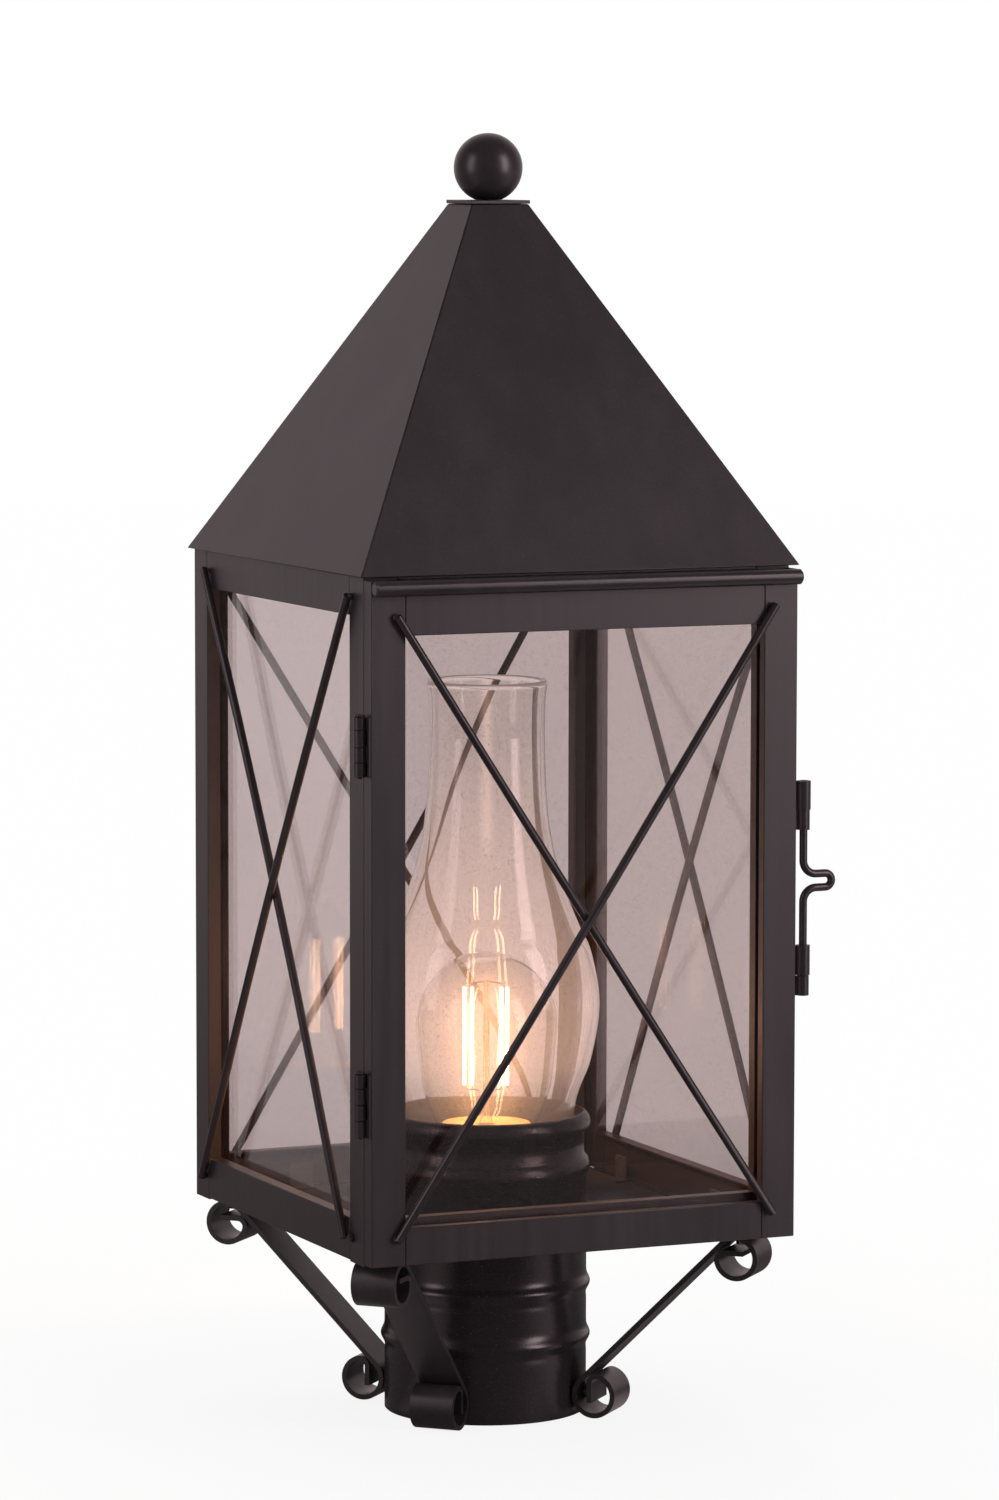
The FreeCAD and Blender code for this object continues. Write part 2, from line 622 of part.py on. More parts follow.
def makeDoor():
    """Door frame of folded stiles and rails, its glass, its tabs and the bar along its top."""
    low = "(fitterLength + doorLift)"
    high = "(%s - doorDrop)" % eaveText
    deep = (doorFaceText, doorBackText)
    room = (doorFaceText + " + gauge", doorBackText + " + 1")
    leg = "(bodyHalf - postLeg)"
    behindGlass = (doorFaceText + " + doorPaneSet - fit", doorBackText + " + 1")
    for name, sign in (("door_stile_left", -1), ("door_stile_right", 1)):
        def across(inner, outer):
            return (inner, outer) if sign > 0 else ("-(%s)" % outer, "-(%s)" % inner)
        stile = less(name, block(name + "_a", across(leg, "bodyHalf"), deep, (low, high)),
                     block(name + "_b", across(leg + " + gauge", "bodyHalf - gauge"), room,
                           (low + " - 1", high + " + 1")),
                     block(name + "_c", across(leg + " - 1", leg + " + 2 * gauge"), behindGlass,
                           (low + " - 1", high + " + 1")))
        keep(name, stile)
    reach = "(%s - fit / 2)" % leg
    wide = ("-" + reach, reach)
    wider = ("-%s - 1" % reach, reach + " + 1")
    railTop = (high + " - doorTopRail", high)
    railLow = (low, low + " + doorBottomRail")
    top = less("door_rail_top", block("door_top_a", wide, deep, railTop),
               block("door_top_b", wider, room, (railTop[0] + " + gauge", high + " - gauge")),
               block("door_top_c", wider, behindGlass, (railTop[0] + " - 1", railTop[0] + " + 2 * gauge")))
    keep("door_rail_top", top)
    bottom = less("door_rail_bottom", block("door_low_a", wide, deep, railLow),
                  block("door_low_b", wider, room, (low + " + gauge", railLow[1] + " - gauge")),
                  block("door_low_c", wider, behindGlass, (railLow[1] + " - 2 * gauge", railLow[1] + " + 1")))
    keep("door_rail_bottom", bottom)
    paneReach = "(%s + doorPaneLap)" % leg
    paneFace = "(%s + doorPaneSet)" % doorFaceText
    pane = block("door_pane", ("-" + paneReach, paneReach), (paneFace, paneFace + " + doorPaneGauge"),
                 (railLow[1] + " - doorPaneLap", railTop[0] + " + doorPaneLap"))
    keep("door_pane", pane)
    clips = []
    for sign in (-1, 1):
        near = "(bodyHalf - postLeg + 2 * gauge)"
        far = "(bodyHalf - gauge - fit)"
        across = (near, far) if sign > 0 else ("-" + far, "-" + near)
        for share in (0.2, 0.5, 0.8):
            middle = "(fitterLength + %s * bodyHeight)" % share
            clips.append(block("door_clip%d" % len(clips), across,
                               (paneFace + " + doorPaneGauge + fit", doorBackText + " - fit"),
                               (middle + " - clipWidth / 2", middle + " + clipWidth / 2")))
    keep("door_pane_clips", group("door_pane_clips", clips))
    radius = size("barRadius")
    bevel = size("barBevel")
    edges = lines((0, -half), (radius - bevel, -half), (radius, bevel - half), (radius, half - bevel),
                  (radius - bevel, half), (0, half), (0, -half))
    bar = spun(edges)
    bar.rotate(Vector(), Vector(0, 1, 0), 90)
    bar.translate(Vector(0, doorFace - fit - radius, eave - size("barDrop")))
    shaped("door_bar", bar)


def makeHinges():
    """Rolled knuckles on thin leaves, with a pin through each hinge."""
    x = -half - size("hingeOut")
    y = -half - size("hingeAhead")
    radius = size("knuckleRadius")
    pin = size("hingePin")
    leaf = size("leafGauge")
    inside = -half - fit
    tops = (underside + size("hingeHigh"), underside + size("hingeLow"))
    # knuckle spans below each hinge's top, and which side carries them
    spans = (((0.0, 4.8, "door"), (5.0, 11.3, "case"), (11.5, 17.0, "door"), (17.2, 22.7, "case")),
             ((0.0, 5.2, "case"), (5.4, 11.4, "door"), (11.6, 17.5, "case"), (17.7, 24.1, "door")))
    clear = radius + size("leafClear")
    leaves = {"door": [], "case": []}
    pins = []
    for top, knuckles in zip(tops, spans):
        bottom = top - knuckles[-1][1]
        plates = {"door": slab((inside - leaf, doorFace + 0.3, bottom), (inside, y - clear, top)),
                  "case": slab((inside - leaf, y + clear, bottom), (inside, y + size("leafReach"), top))}
        for start, end, side in knuckles:
            knuckle = tube(radius, 0, top - end, top - start, x, y)
            far = y - clear if side == "door" else y + clear
            web = slab((inside - leaf, min(far, y), top - end), (inside, max(far, y), top - start))
            plates[side] = plates[side].fuse([knuckle, web])
        for side, plate in plates.items():
            bore = tube(pin + 0.05, 0, bottom - 1, top + 1, x, y)
            leaves[side].append(plate.cut(bore).removeSplitter())
        shank = tube(pin, 0, bottom - 0.6, top + 0.2, x, y)
        pins.append(shank.fuse(tube(pin + 0.9, 0, top + 0.15, top + 0.9, x, y)))
    shaped("hinge_leaves_door", Part.makeCompound(leaves["door"]))
    shaped("hinge_leaves_case", Part.makeCompound(leaves["case"]))
    shaped("hinge_pins", Part.makeCompound(pins))


def makeLatch():
    """Bent wire pin with a finger loop, its two guides on the door and its cup on the case."""
    x = half + size("latchOut")
    y = doorFace + size("latchSet")
    wire = size("latchWire")
    bore = wire + 0.08
    leaf = size("leafGauge")
    inside = half + fit
    guides = []
    start = underside + size("latchFoot")
    upper = (start + size("sleeveFoot"), start + size("sleeveTop"), start + size("guideTop"))
    lower = (start, start + size("lowGuide"))
    sleeve = tube(size("sleeveRadius"), 0, upper[0], upper[1], x, y)
    barrel = tube(size("guideRadius"), 0, upper[1], upper[2], x, y)
    plate = slab((inside, y, upper[0]), (inside + leaf, -half - 1.2, upper[2]))
    guides.append(sleeve.fuse([barrel, plate]).cut(tube(bore, 0, upper[0] - 1, upper[2] + 1, x, y)))
    barrel = tube(size("guideRadius"), 0, lower[0], lower[1], x, y)
    plate = slab((inside, y, lower[0]), (inside + leaf, -half - 1.2, lower[1]))
    guides.append(barrel.fuse(plate).cut(tube(bore, 0, lower[0] - 1, lower[1] + 1, x, y)))
    shaped("latch_guides", Part.makeCompound(guides))
    cupLow = lower[0] - size("latchCupTall")
    cupTop = lower[0] - 0.3
    cup = tube(size("sleeveRadius"), 0, cupLow, cupTop, x, y)
    arm = slab((half + 0.3, y, cupLow), (half + 1.2, 9 - half, cupTop))
    shaped("latch_cup", cup.fuse(arm).cut(tube(wire + 0.2, 0, cupLow + 0.8, cupTop + 1, x, y)))
    # centre line of the wire: down, out along the loop, back and down again
    top = start + size("latchTall")
    turn = size("loopGap") / 2
    runs = (start + size("loopHigh"), start + size("loopHigh") - size("loopGap"))
    bend = size("loopBend")
    tip = x + size("loopReach")
    low = cupLow + 1
    slope = math.sin(math.radians(45))

    def spot(across, height):
        return Vector(across, y, height)

    corner = bend * (1 - slope)
    pieces = [
        Part.makeLine(spot(x, top), spot(x, runs[0] + bend)),
        Part.Arc(spot(x, runs[0] + bend), spot(x + corner, runs[0] + corner),
                 spot(x + bend, runs[0])).toShape(),
        Part.makeLine(spot(x + bend, runs[0]), spot(tip - turn, runs[0])),
        Part.Arc(spot(tip - turn, runs[0]), spot(tip, runs[0] - turn), spot(tip - turn, runs[1])).toShape(),
        Part.makeLine(spot(tip - turn, runs[1]), spot(x + bend, runs[1])),
        Part.Arc(spot(x + bend, runs[1]), spot(x + corner, runs[1] - corner),
                 spot(x, runs[1] - bend)).toShape(),
        Part.makeLine(spot(x, runs[1] - bend), spot(x, low)),
    ]
    ring = Part.Wire(Part.makeCircle(wire, spot(x, top), Vector(0, 0, -1)))
    shaped("latch_pin", Part.Wire(pieces).makePipeShell([ring], True, False))


def writeParts():
    """Check every piece and write it to its own file."""
    document.recompute()
    os.makedirs("parts", exist_ok=True)
    for item in document.Objects:
        if "Invalid" in item.State or "Error" in item.State:
            raise RuntimeError("%s is %s" % (item.Name, item.State))
    for name, item in parts.items():
        shape = item.Shape
        if shape.isNull() or not shape.isValid() or not shape.Solids:
            raise RuntimeError(name + " has no sound shape")
        shape.exportStep("parts/%s.step" % name)
    print("wrote %d parts" % len(parts))


makeFitter()
makeFloor()
makePosts()
makeRails()
makePanes()
makePaneClips()
makeRods()
makeRoof()
makeFinial()
makeBrackets()
makeClampScrews()
makeCup()
makeChimney()
makeHolder()
makeBulb()
makeDoor()
makeHinges()
makeLatch()
writeParts()
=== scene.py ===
import json
import math

import bmesh
import bpy
from mathutils import Matrix, Vector


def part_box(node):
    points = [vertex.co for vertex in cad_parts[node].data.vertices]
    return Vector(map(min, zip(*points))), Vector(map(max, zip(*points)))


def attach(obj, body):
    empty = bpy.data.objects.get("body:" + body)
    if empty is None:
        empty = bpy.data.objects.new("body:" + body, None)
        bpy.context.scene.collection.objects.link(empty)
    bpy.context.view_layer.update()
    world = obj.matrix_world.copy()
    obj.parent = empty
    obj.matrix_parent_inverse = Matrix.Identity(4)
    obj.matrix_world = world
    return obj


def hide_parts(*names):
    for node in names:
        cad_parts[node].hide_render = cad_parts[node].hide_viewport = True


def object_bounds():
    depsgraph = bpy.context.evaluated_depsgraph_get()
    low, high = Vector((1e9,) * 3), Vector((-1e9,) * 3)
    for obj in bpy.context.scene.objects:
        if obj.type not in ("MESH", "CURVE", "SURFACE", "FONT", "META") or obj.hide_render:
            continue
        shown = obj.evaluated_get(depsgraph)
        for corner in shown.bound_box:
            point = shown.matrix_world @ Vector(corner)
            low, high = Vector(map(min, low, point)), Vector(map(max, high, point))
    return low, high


# The lantern as it stands in the studio: painted sheet metal, tinted panes, a glass chimney
# and a lit bulb. Everything is in metres, in the same frame as the CAD nodes.
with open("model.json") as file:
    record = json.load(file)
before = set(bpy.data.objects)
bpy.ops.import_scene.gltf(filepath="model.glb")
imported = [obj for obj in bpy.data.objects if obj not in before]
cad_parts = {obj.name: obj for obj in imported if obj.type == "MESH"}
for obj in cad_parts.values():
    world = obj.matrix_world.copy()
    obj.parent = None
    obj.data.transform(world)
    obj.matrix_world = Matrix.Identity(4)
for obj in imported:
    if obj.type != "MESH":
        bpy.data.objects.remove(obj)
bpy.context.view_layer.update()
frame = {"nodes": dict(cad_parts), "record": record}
mm = 0.001
black = (0, 0, 0, 1)
white = (1, 1, 1, 1)
bodyOfNode = {node: body for body, nodes in frame["record"]["behaviour"]["bodies"].items() for node in nodes}
slotOfNode = {part["node"]: part["material_slot"] for part in frame["record"]["subparts"]}


def inScene(name, data):
    thing = bpy.data.objects.new(name, data)
    bpy.context.scene.collection.objects.link(thing)
    return thing


def meshFrom(builder, name):
    mesh = bpy.data.meshes.new(name)
    builder.to_mesh(mesh)
    builder.free()
    return mesh


def meshOf(holder, name):
    # what an object's curve or modifier makes, as a plain mesh; the object itself goes
    graph = bpy.context.evaluated_depsgraph_get()
    mesh = bpy.data.meshes.new_from_object(holder.evaluated_get(graph))
    bpy.data.objects.remove(holder)
    mesh.name = name
    return mesh


def startMaterial(name):
    material = bpy.data.materials.new(name)
    material.use_nodes = True
    tree = material.node_tree
    return material, tree, tree.nodes["Principled BSDF"]


def newGroup(name, inputs, outputs):
    group = bpy.data.node_groups.new(name, "ShaderNodeTree")
    for label, kind, value in inputs:
        group.interface.new_socket(label, in_out="INPUT", socket_type=kind).default_value = value
    for label, kind in outputs:
        group.interface.new_socket(label, in_out="OUTPUT", socket_type=kind)
    start = group.nodes.new("NodeGroupInput")
    end = group.nodes.new("NodeGroupOutput")
    return group, start, end


def addNode(tree, kind, settings=None, **values):
    node = tree.nodes.new(kind)
    for field, value in (settings or {}).items():
        setattr(node, field, value)
    for label, value in values.items():
        node.inputs[label.replace("_", " ")].default_value = value
    return node


def wire(tree, start, end):
    tree.links.new(start, end)


def feed(tree, value, socket):
    # a socket takes a plain value or what another node puts out
    if hasattr(value, "links"):
        tree.links.new(value, socket)
    else:
        socket.default_value = value


def maths(tree, operation, first, second, clamp=False):
    node = addNode(tree, "ShaderNodeMath", {"operation": operation, "use_clamp": clamp})
    feed(tree, first, node.inputs[0])
    feed(tree, second, node.inputs[1])
    return node.outputs[0]


def mixColor(tree, share, first, second):
    node = addNode(tree, "ShaderNodeMix", {"data_type": "RGBA"})
    for place, value in ((0, share), (6, first), (7, second)):
        feed(tree, value, node.inputs[place])
    return node.outputs[2]


def mixLevel(tree, share, first, second):
    node = tree.nodes.new("ShaderNodeMix")
    for place, value in ((0, share), (2, first), (3, second)):
        feed(tree, value, node.inputs[place])
    return node.outputs[0]


def mixShader(tree, share, first, second):
    node = tree.nodes.new("ShaderNodeMixShader")
    for place, value in enumerate((share, first, second)):
        feed(tree, value, node.inputs[place])
    return node.outputs[0]


def spread(tree, value, low, high, newLow, newHigh):
    # low to high becomes newLow to newHigh
    node = tree.nodes.new("ShaderNodeMapRange")
    for place, number in enumerate((value, low, high, newLow, newHigh)):
        feed(tree, number, node.inputs[place])
    return node.outputs[0]


def objectSpot(tree):
    return tree.nodes.new("ShaderNodeTexCoord").outputs["Object"]


def objectHeight(tree):
    parts = tree.nodes.new("ShaderNodeSeparateXYZ")
    wire(tree, objectSpot(tree), parts.inputs[0])
    return parts.outputs[2]


def reachToward(tree, spot, direction):
    # how far a spot or a ray goes in the given direction
    node = addNode(tree, "ShaderNodeVectorMath", {"operation": "DOT_PRODUCT"})
    wire(tree, spot, node.inputs[0])
    node.inputs[1].default_value = direction
    return node.outputs["Value"]


def scaledSpot(tree, spot, scale):
    node = tree.nodes.new("ShaderNodeMapping")
    wire(tree, spot, node.inputs["Vector"])
    feed(tree, scale, node.inputs["Scale"])
    return node.outputs[0]


def noiseAt(tree, spot, scale, detail=3.0, rough=0.55):
    node = addNode(tree, "ShaderNodeTexNoise", Detail=detail, Roughness=rough)
    wire(tree, spot, node.inputs["Vector"])
    feed(tree, scale, node.inputs["Scale"])
    return node.outputs[0]


surfaceOutputs = [("Color", "NodeSocketColor"), ("Roughness", "NodeSocketFloat"),
                  ("Normal", "NodeSocketVector")]

# marks in the enamel: noise scales, the levels between which each mark comes in, and its share
enamel = {"patches": 18.0, "grain": 900.0, "peel": 420.0, "specks": 1500.0,
          "patchLevels": (0.3, 0.7), "runLevels": (0.35, 0.7), "speckLevels": (0.68, 0.76),
          "dustLevels": (0.2, 0.42), "tiltLevels": (0.3, 0.95), "sideDust": 0.12, "speckDust": 0.12,
          "thinRun": 0.6, "thinPatch": 0.3, "dustDulls": 0.25, "grainBump": 0.25, "runBump": 0.5,
          "depth": 0.05 * mm}


def buildPaintGroup():
    # sprayed satin enamel: slow mottling, marks of the roll under it, orange peel and settled dust
    group, start, end = newGroup(
        "satinEnamel",
        [("Paint", "NodeSocketColor", (0.0140, 0.0113, 0.0127, 1)),
         ("Thin Paint", "NodeSocketColor", (0.0245, 0.0197, 0.0220, 1)),
         ("Dust", "NodeSocketColor", (0.15, 0.125, 0.12, 1)),
         ("Grain", "NodeSocketVector", (260, 260, 9)),
         ("Dust Amount", "NodeSocketFloat", 0.1),
         ("Rough Low", "NodeSocketFloat", 0.3),
         ("Rough High", "NodeSocketFloat", 0.48),
         ("Peel", "NodeSocketFloat", 0.12)],
        surfaceOutputs)
    spot = objectSpot(group)
    patches = noiseAt(group, spot, enamel["patches"], 4.0)
    runs = noiseAt(group, scaledSpot(group, spot, start.outputs["Grain"]), 1.0, 4.0)
    grain = noiseAt(group, spot, enamel["grain"], 2.0, 0.6)
    peel = noiseAt(group, spot, enamel["peel"], 1.0)
    # dust settles on what faces up, and single specks lie everywhere
    facing = group.nodes.new("ShaderNodeSeparateXYZ")
    wire(group, group.nodes.new("ShaderNodeNewGeometry").outputs["Normal"], facing.inputs[0])
    upward = spread(group, facing.outputs[2], *enamel["tiltLevels"], enamel["sideDust"], 1.0)
    specks = spread(group, noiseAt(group, spot, enamel["specks"], 1.0, 0.4), *enamel["speckLevels"], 0, 1)
    settled = spread(group, maths(group, "MULTIPLY", patches, grain), *enamel["dustLevels"], 0, 1)
    film = maths(group, "MULTIPLY", maths(group, "MULTIPLY", settled, upward), start.outputs["Dust Amount"])
    film = maths(group, "ADD", film, maths(group, "MULTIPLY", specks, enamel["speckDust"]), True)
    # the coat is thinner along the runs, in patches
    thinRuns = spread(group, runs, *enamel["runLevels"], 0, enamel["thinRun"])
    thinPatches = spread(group, patches, *enamel["patchLevels"], enamel["thinPatch"], 1.0)
    thin = maths(group, "MULTIPLY", thinRuns, thinPatches)
    tone = mixColor(group, thin, start.outputs["Paint"], start.outputs["Thin Paint"])
    wire(group, mixColor(group, film, tone, start.outputs["Dust"]), end.inputs["Color"])
    uneven = maths(group, "ADD", maths(group, "MULTIPLY", patches, 0.5), maths(group, "MULTIPLY", runs, 0.5))
    rough = spread(group, uneven, *enamel["patchLevels"], start.outputs["Rough Low"],
                   start.outputs["Rough High"])
    dulled = maths(group, "ADD", rough, maths(group, "MULTIPLY", film, enamel["dustDulls"]), True)
    wire(group, dulled, end.inputs["Roughness"])
    bump = addNode(group, "ShaderNodeBump", Distance=enamel["depth"])
    height = maths(group, "ADD", peel, maths(group, "MULTIPLY", grain, enamel["grainBump"]))
    height = maths(group, "ADD", height, maths(group, "MULTIPLY", runs, enamel["runBump"]))
    wire(group, height, bump.inputs["Height"])
    wire(group, start.outputs["Peel"], bump.inputs["Strength"])
    wire(group, bump.outputs[0], end.inputs["Normal"])
    return group


# marks in the glass: noise scales, levels, shares and colours, and how deep its waves are
glassMarks = {"cloud": 30.0, "specks": 1100.0, "cloudLevels": (0.3, 0.75), "filmLevels": (0.45, 0.8),
              "speckLevels": (0.72, 0.78), "cloudShare": 0.09, "speckShare": 0.5,
              "cloudColor": (0.6, 0.53, 0.52, 1), "speckColor": (0.45, 0.4, 0.38, 1), "depth": 0.4 * mm}


def buildGlassGroup():
    # slow waves in the sheet, a thin film of dust and a few specks
    group, start, end = newGroup(
        "wavyGlass",
        [("Tint", "NodeSocketColor", (0.9, 0.86, 0.85, 1)),
         ("Wave Scale", "NodeSocketFloat", 14.0),
         ("Wave", "NodeSocketFloat", 0.1),
         ("Film", "NodeSocketFloat", 0.04)],
        surfaceOutputs)
    spot = objectSpot(group)
    waves = noiseAt(group, spot, start.outputs["Wave Scale"], 1.0, 0.5)
    cloud = noiseAt(group, spot, glassMarks["cloud"], 5.0, 0.62)
    dots = noiseAt(group, spot, glassMarks["specks"], 0.0, 0.3)
    specks = spread(group, dots, *glassMarks["speckLevels"], 0, glassMarks["speckShare"])
    clouded = spread(group, cloud, *glassMarks["cloudLevels"], 0, glassMarks["cloudShare"])
    shade = mixColor(group, clouded, start.outputs["Tint"], glassMarks["cloudColor"])
    wire(group, mixColor(group, specks, shade, glassMarks["speckColor"]), end.inputs["Color"])
    filmed = spread(group, cloud, *glassMarks["filmLevels"], 0, 1)
    film = maths(group, "MULTIPLY", filmed, start.outputs["Film"])
    wire(group, film, end.inputs["Roughness"])
    bump = addNode(group, "ShaderNodeBump", Distance=glassMarks["depth"])
    wire(group, waves, bump.inputs["Height"])
    wire(group, start.outputs["Wave"], bump.inputs["Strength"])
    wire(group, bump.outputs[0], end.inputs["Normal"])
    return group


# rings and tarnish of bare metal: noise scales, levels, roughness, and how deep the rings are
metalMarks = {"rings": (60, 60, 2500), "patches": 160.0, "patchLevels": (0.4, 0.68), "ringShare": 0.4,
              "rough": (0.22, 0.6), "depth": 0.04 * mm, "strength": 0.3}


def buildMetalGroup():
    # bare turned or drawn metal: fine rings round Z, tarnish in patches
    group, start, end = newGroup(
        "bareMetal",
        [("Metal", "NodeSocketColor", (0.6, 0.58, 0.55, 1)),
         ("Tarnish", "NodeSocketColor", (0.2, 0.15, 0.1, 1)),
         ("Age", "NodeSocketFloat", 0.4)],
        surfaceOutputs)
    spot = objectSpot(group)
    rings = noiseAt(group, scaledSpot(group, spot, metalMarks["rings"]), 1.0)
    stains = noiseAt(group, spot, metalMarks["patches"], 5.0, 0.65)
    patches = spread(group, stains, *metalMarks["patchLevels"], 0, 1)
    aged = maths(group, "MULTIPLY", patches, start.outputs["Age"])
    wire(group, mixColor(group, aged, start.outputs["Metal"], start.outputs["Tarnish"]), end.inputs["Color"])
    uneven = maths(group, "ADD", aged, maths(group, "MULTIPLY", rings, metalMarks["ringShare"]))
    wire(group, spread(group, uneven, 0, 1, *metalMarks["rough"]), end.inputs["Roughness"])
    bump = addNode(group, "ShaderNodeBump", Distance=metalMarks["depth"], Strength=metalMarks["strength"])
    wire(group, rings, bump.inputs["Height"])
    wire(group, bump.outputs[0], end.inputs["Normal"])
    return group


print("scene: materials")
paintGroup = buildPaintGroup()
glassGroup = buildGlassGroup()
metalGroup = buildMetalGroup()


def newMaterial(name, group, values, shaderValues):
    material, tree, shader = startMaterial(name)
    for label, value in shaderValues.items():
        shader.inputs[label].default_value = value
    look = tree.nodes.new("ShaderNodeGroup")
    look.node_tree = group
    for label, value in values.items():
        look.inputs[label].default_value = value
    wire(tree, look.outputs["Color"], shader.inputs["Base Color"])
    wire(tree, look.outputs["Roughness"], shader.inputs["Roughness"])
    wire(tree, look.outputs["Normal"], shader.inputs["Normal"])
    return material


paintLook = {"Dust Amount": 0.1, "Rough Low": 0.3, "Rough High": 0.42, "Peel": 0.16}
paintShine = {"IOR": 1.5, "Specular Tint": (1.0, 0.87, 0.91, 1)}


def paintMaterial(name, changes=None):
    return newMaterial(name, paintGroup, {**paintLook, **(changes or {})}, paintShine)


blackPaint = paintMaterial("blackPaint")
roofPaint = paintMaterial("roofPaint", {"Grain": (90, 90, 6), "Rough Low": 0.37, "Rough High": 0.43})
# spun pieces carry fine rings instead of upright marks
spunPaint = paintMaterial("spunPaint", {"Grain": (8, 8, 700), "Dust Amount": 0.03, "Rough Low": 0.25,
                                        "Rough High": 0.27, "Peel": 0.02,
                                        "Thin Paint": (0.0165, 0.0133, 0.0150, 1)})
ballPaint = paintMaterial("ballPaint", {"Grain": (14, 14, 60), "Dust Amount": 0.02, "Rough Low": 0.32,
                                        "Rough High": 0.36, "Peel": 0.03})
rodPaint = paintMaterial("rodPaint", {"Grain": (90, 90, 90), "Rough Low": 0.26, "Rough High": 0.36,
                                      "Peel": 0.1})
holderBody = newMaterial("holderBody", paintGroup,
                         {"Paint": (0.02, 0.018, 0.017, 1), "Dust Amount": 0.4, "Peel": 0.1}, {"IOR": 1.5})
neckMica = newMaterial("neckMica", metalGroup,
                       {"Metal": (0.5, 0.34, 0.16, 1), "Tarnish": (0.3, 0.19, 0.09, 1), "Age": 0.5},
                       {"IOR": 1.5})
screwSteel = newMaterial("screwSteel", metalGroup,
                         {"Metal": (0.55, 0.53, 0.5, 1), "Tarnish": (0.16, 0.13, 0.11, 1), "Age": 0.35},
                         {"Metallic": 1.0})
brassShell = newMaterial("brassShell", metalGroup,
                         {"Metal": (0.72, 0.5, 0.24, 1), "Tarnish": (0.25, 0.15, 0.07, 1), "Age": 0.5},
                         {"Metallic": 1.0})


def glassMaterial(name, look, refraction, shadowTint):
    # shadow rays pass straight through the glass, so the inside is lit without caustics
    material = newMaterial(name, glassGroup, look, {"Transmission Weight": 1.0, "IOR": refraction})
    tree = material.node_tree
    clear = addNode(tree, "ShaderNodeBsdfTransparent", Color=shadowTint)
    path = tree.nodes.new("ShaderNodeLightPath")
    surface = mixShader(tree, path.outputs["Is Shadow Ray"], tree.nodes["Principled BSDF"].outputs[0],
                        clear.outputs[0])
    wire(tree, surface, tree.nodes["Material Output"].inputs[0])
    return material


# the painted haze's foot in metres below and above where it is fullest, its weakest shares, and where it
# thins between face on and edge on
paintedGlowShape = {"below": 15 * mm, "above": 10 * mm, "footShare": 0.3, "topShare": 0.1,
              "faceOn": 0.25, "edgeOn": 0.95}


def paintedGlassGlow(material, glow):
    # painted glow: the glass gets an emission in place of the filaments' light, a haze that fades with height
    # and a halo face on
    tree = material.node_tree
    shader = tree.nodes["Principled BSDF"]
    facing = addNode(tree, "ShaderNodeLayerWeight", Blend=0.5).outputs["Facing"]
    height = objectHeight(tree)
    full, gone = glow["span"]
    fade = spread(tree, height, full, gone, 1.0, paintedGlowShape["topShare"])
    foot = spread(tree, height, full - paintedGlowShape["below"], full + paintedGlowShape["above"],
                  paintedGlowShape["footShare"], 1.0)
    seen = spread(tree, facing, paintedGlowShape["faceOn"], paintedGlowShape["edgeOn"], 1.0, 0.0)
    share = maths(tree, "MULTIPLY", maths(tree, "MULTIPLY", fade, foot), seen)
    haze = mixColor(tree, share, black, glow["haze"])
    near = maths(tree, "POWER", spread(tree, facing, 0.0, glow["reach"], 1.0, 0.0), 2.0)
    wire(tree, mixColor(tree, near, haze, glow["halo"]), shader.inputs["Emission Color"])
    shader.inputs["Emission Strength"].default_value = glow["strength"]


def paintedRimHighlight(material, height, blend, color):
    # painted highlight: the emission turns pale near the top, so the fire-polished rim stands out pale
    tree = material.node_tree
    glowing = tree.nodes["Principled BSDF"].inputs["Emission Color"]
    before = glowing.links[0].from_socket
    share = spread(tree, objectHeight(tree), height, height + blend, 0.0, 1.0)
    wire(tree, mixColor(tree, share, before, color), glowing)


# each painted glow's span is the height where it is fullest and the height where it has faded, in metres
chimneyPaintedGlow = {"strength": 0.5, "haze": (0.37, 0.25, 0.18, 1), "span": (0.133, 0.27),
               "halo": (0.37, 0.25, 0.18, 1), "reach": 0.01}
bulbPaintedGlow = {"strength": 0.3, "haze": (0.06, 0.03, 0.01, 1), "span": (0.12, 0.18),
            "halo": (0.95, 0.5, 0.2, 1), "reach": 0.32}
stemPaintedGlow = {"strength": 0.25, "haze": (1.0, 0.66, 0.36, 1), "span": (0.16, 0.3),
            "halo": (1.0, 0.66, 0.36, 1), "reach": 0.02}
# the painted rim highlight: how far below the top it starts, how soft its edge is, and its colour
chimneyRimHighlight = {"drop": 2.6 * mm, "blend": 1.0 * mm, "color": (0.32, 0.27, 0.26, 1)}

paneGlass = glassMaterial("paneGlass", {"Tint": (0.71, 0.635, 0.63, 1), "Wave Scale": 12.0, "Wave": 0.08,
                                        "Film": 0.0}, 1.5, (0.88, 0.84, 0.83, 1))
# the chimney, bulb and stem glass get a painted glow, and the chimney a painted highlight on its rim
chimneyGlass = glassMaterial("chimneyGlass", {"Tint": (0.985, 0.975, 0.97, 1), "Wave Scale": 30.0,
                                              "Wave": 0.03, "Film": 0.0}, 1.47, (0.97, 0.96, 0.95, 1))
paintedGlassGlow(chimneyGlass, chimneyPaintedGlow)
paintedRimHighlight(chimneyGlass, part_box("chimney_glass")[1].z - chimneyRimHighlight["drop"], chimneyRimHighlight["blend"],
        chimneyRimHighlight["color"])
bulbGlass = glassMaterial("bulbGlass", {"Tint": (0.99, 0.98, 0.965, 1), "Wave Scale": 40.0,
                                        "Wave": 0.03, "Film": 0.0}, 1.47, (0.98, 0.97, 0.95, 1))
paintedGlassGlow(bulbGlass, bulbPaintedGlow)
stemGlass = glassMaterial("stemGlass", {"Tint": (1.0, 0.96, 0.9, 1), "Wave Scale": 60.0,
                                        "Wave": 0.03, "Film": 0.0}, 1.47, (0.98, 0.97, 0.95, 1))
paintedGlassGlow(stemGlass, stemPaintedGlow)

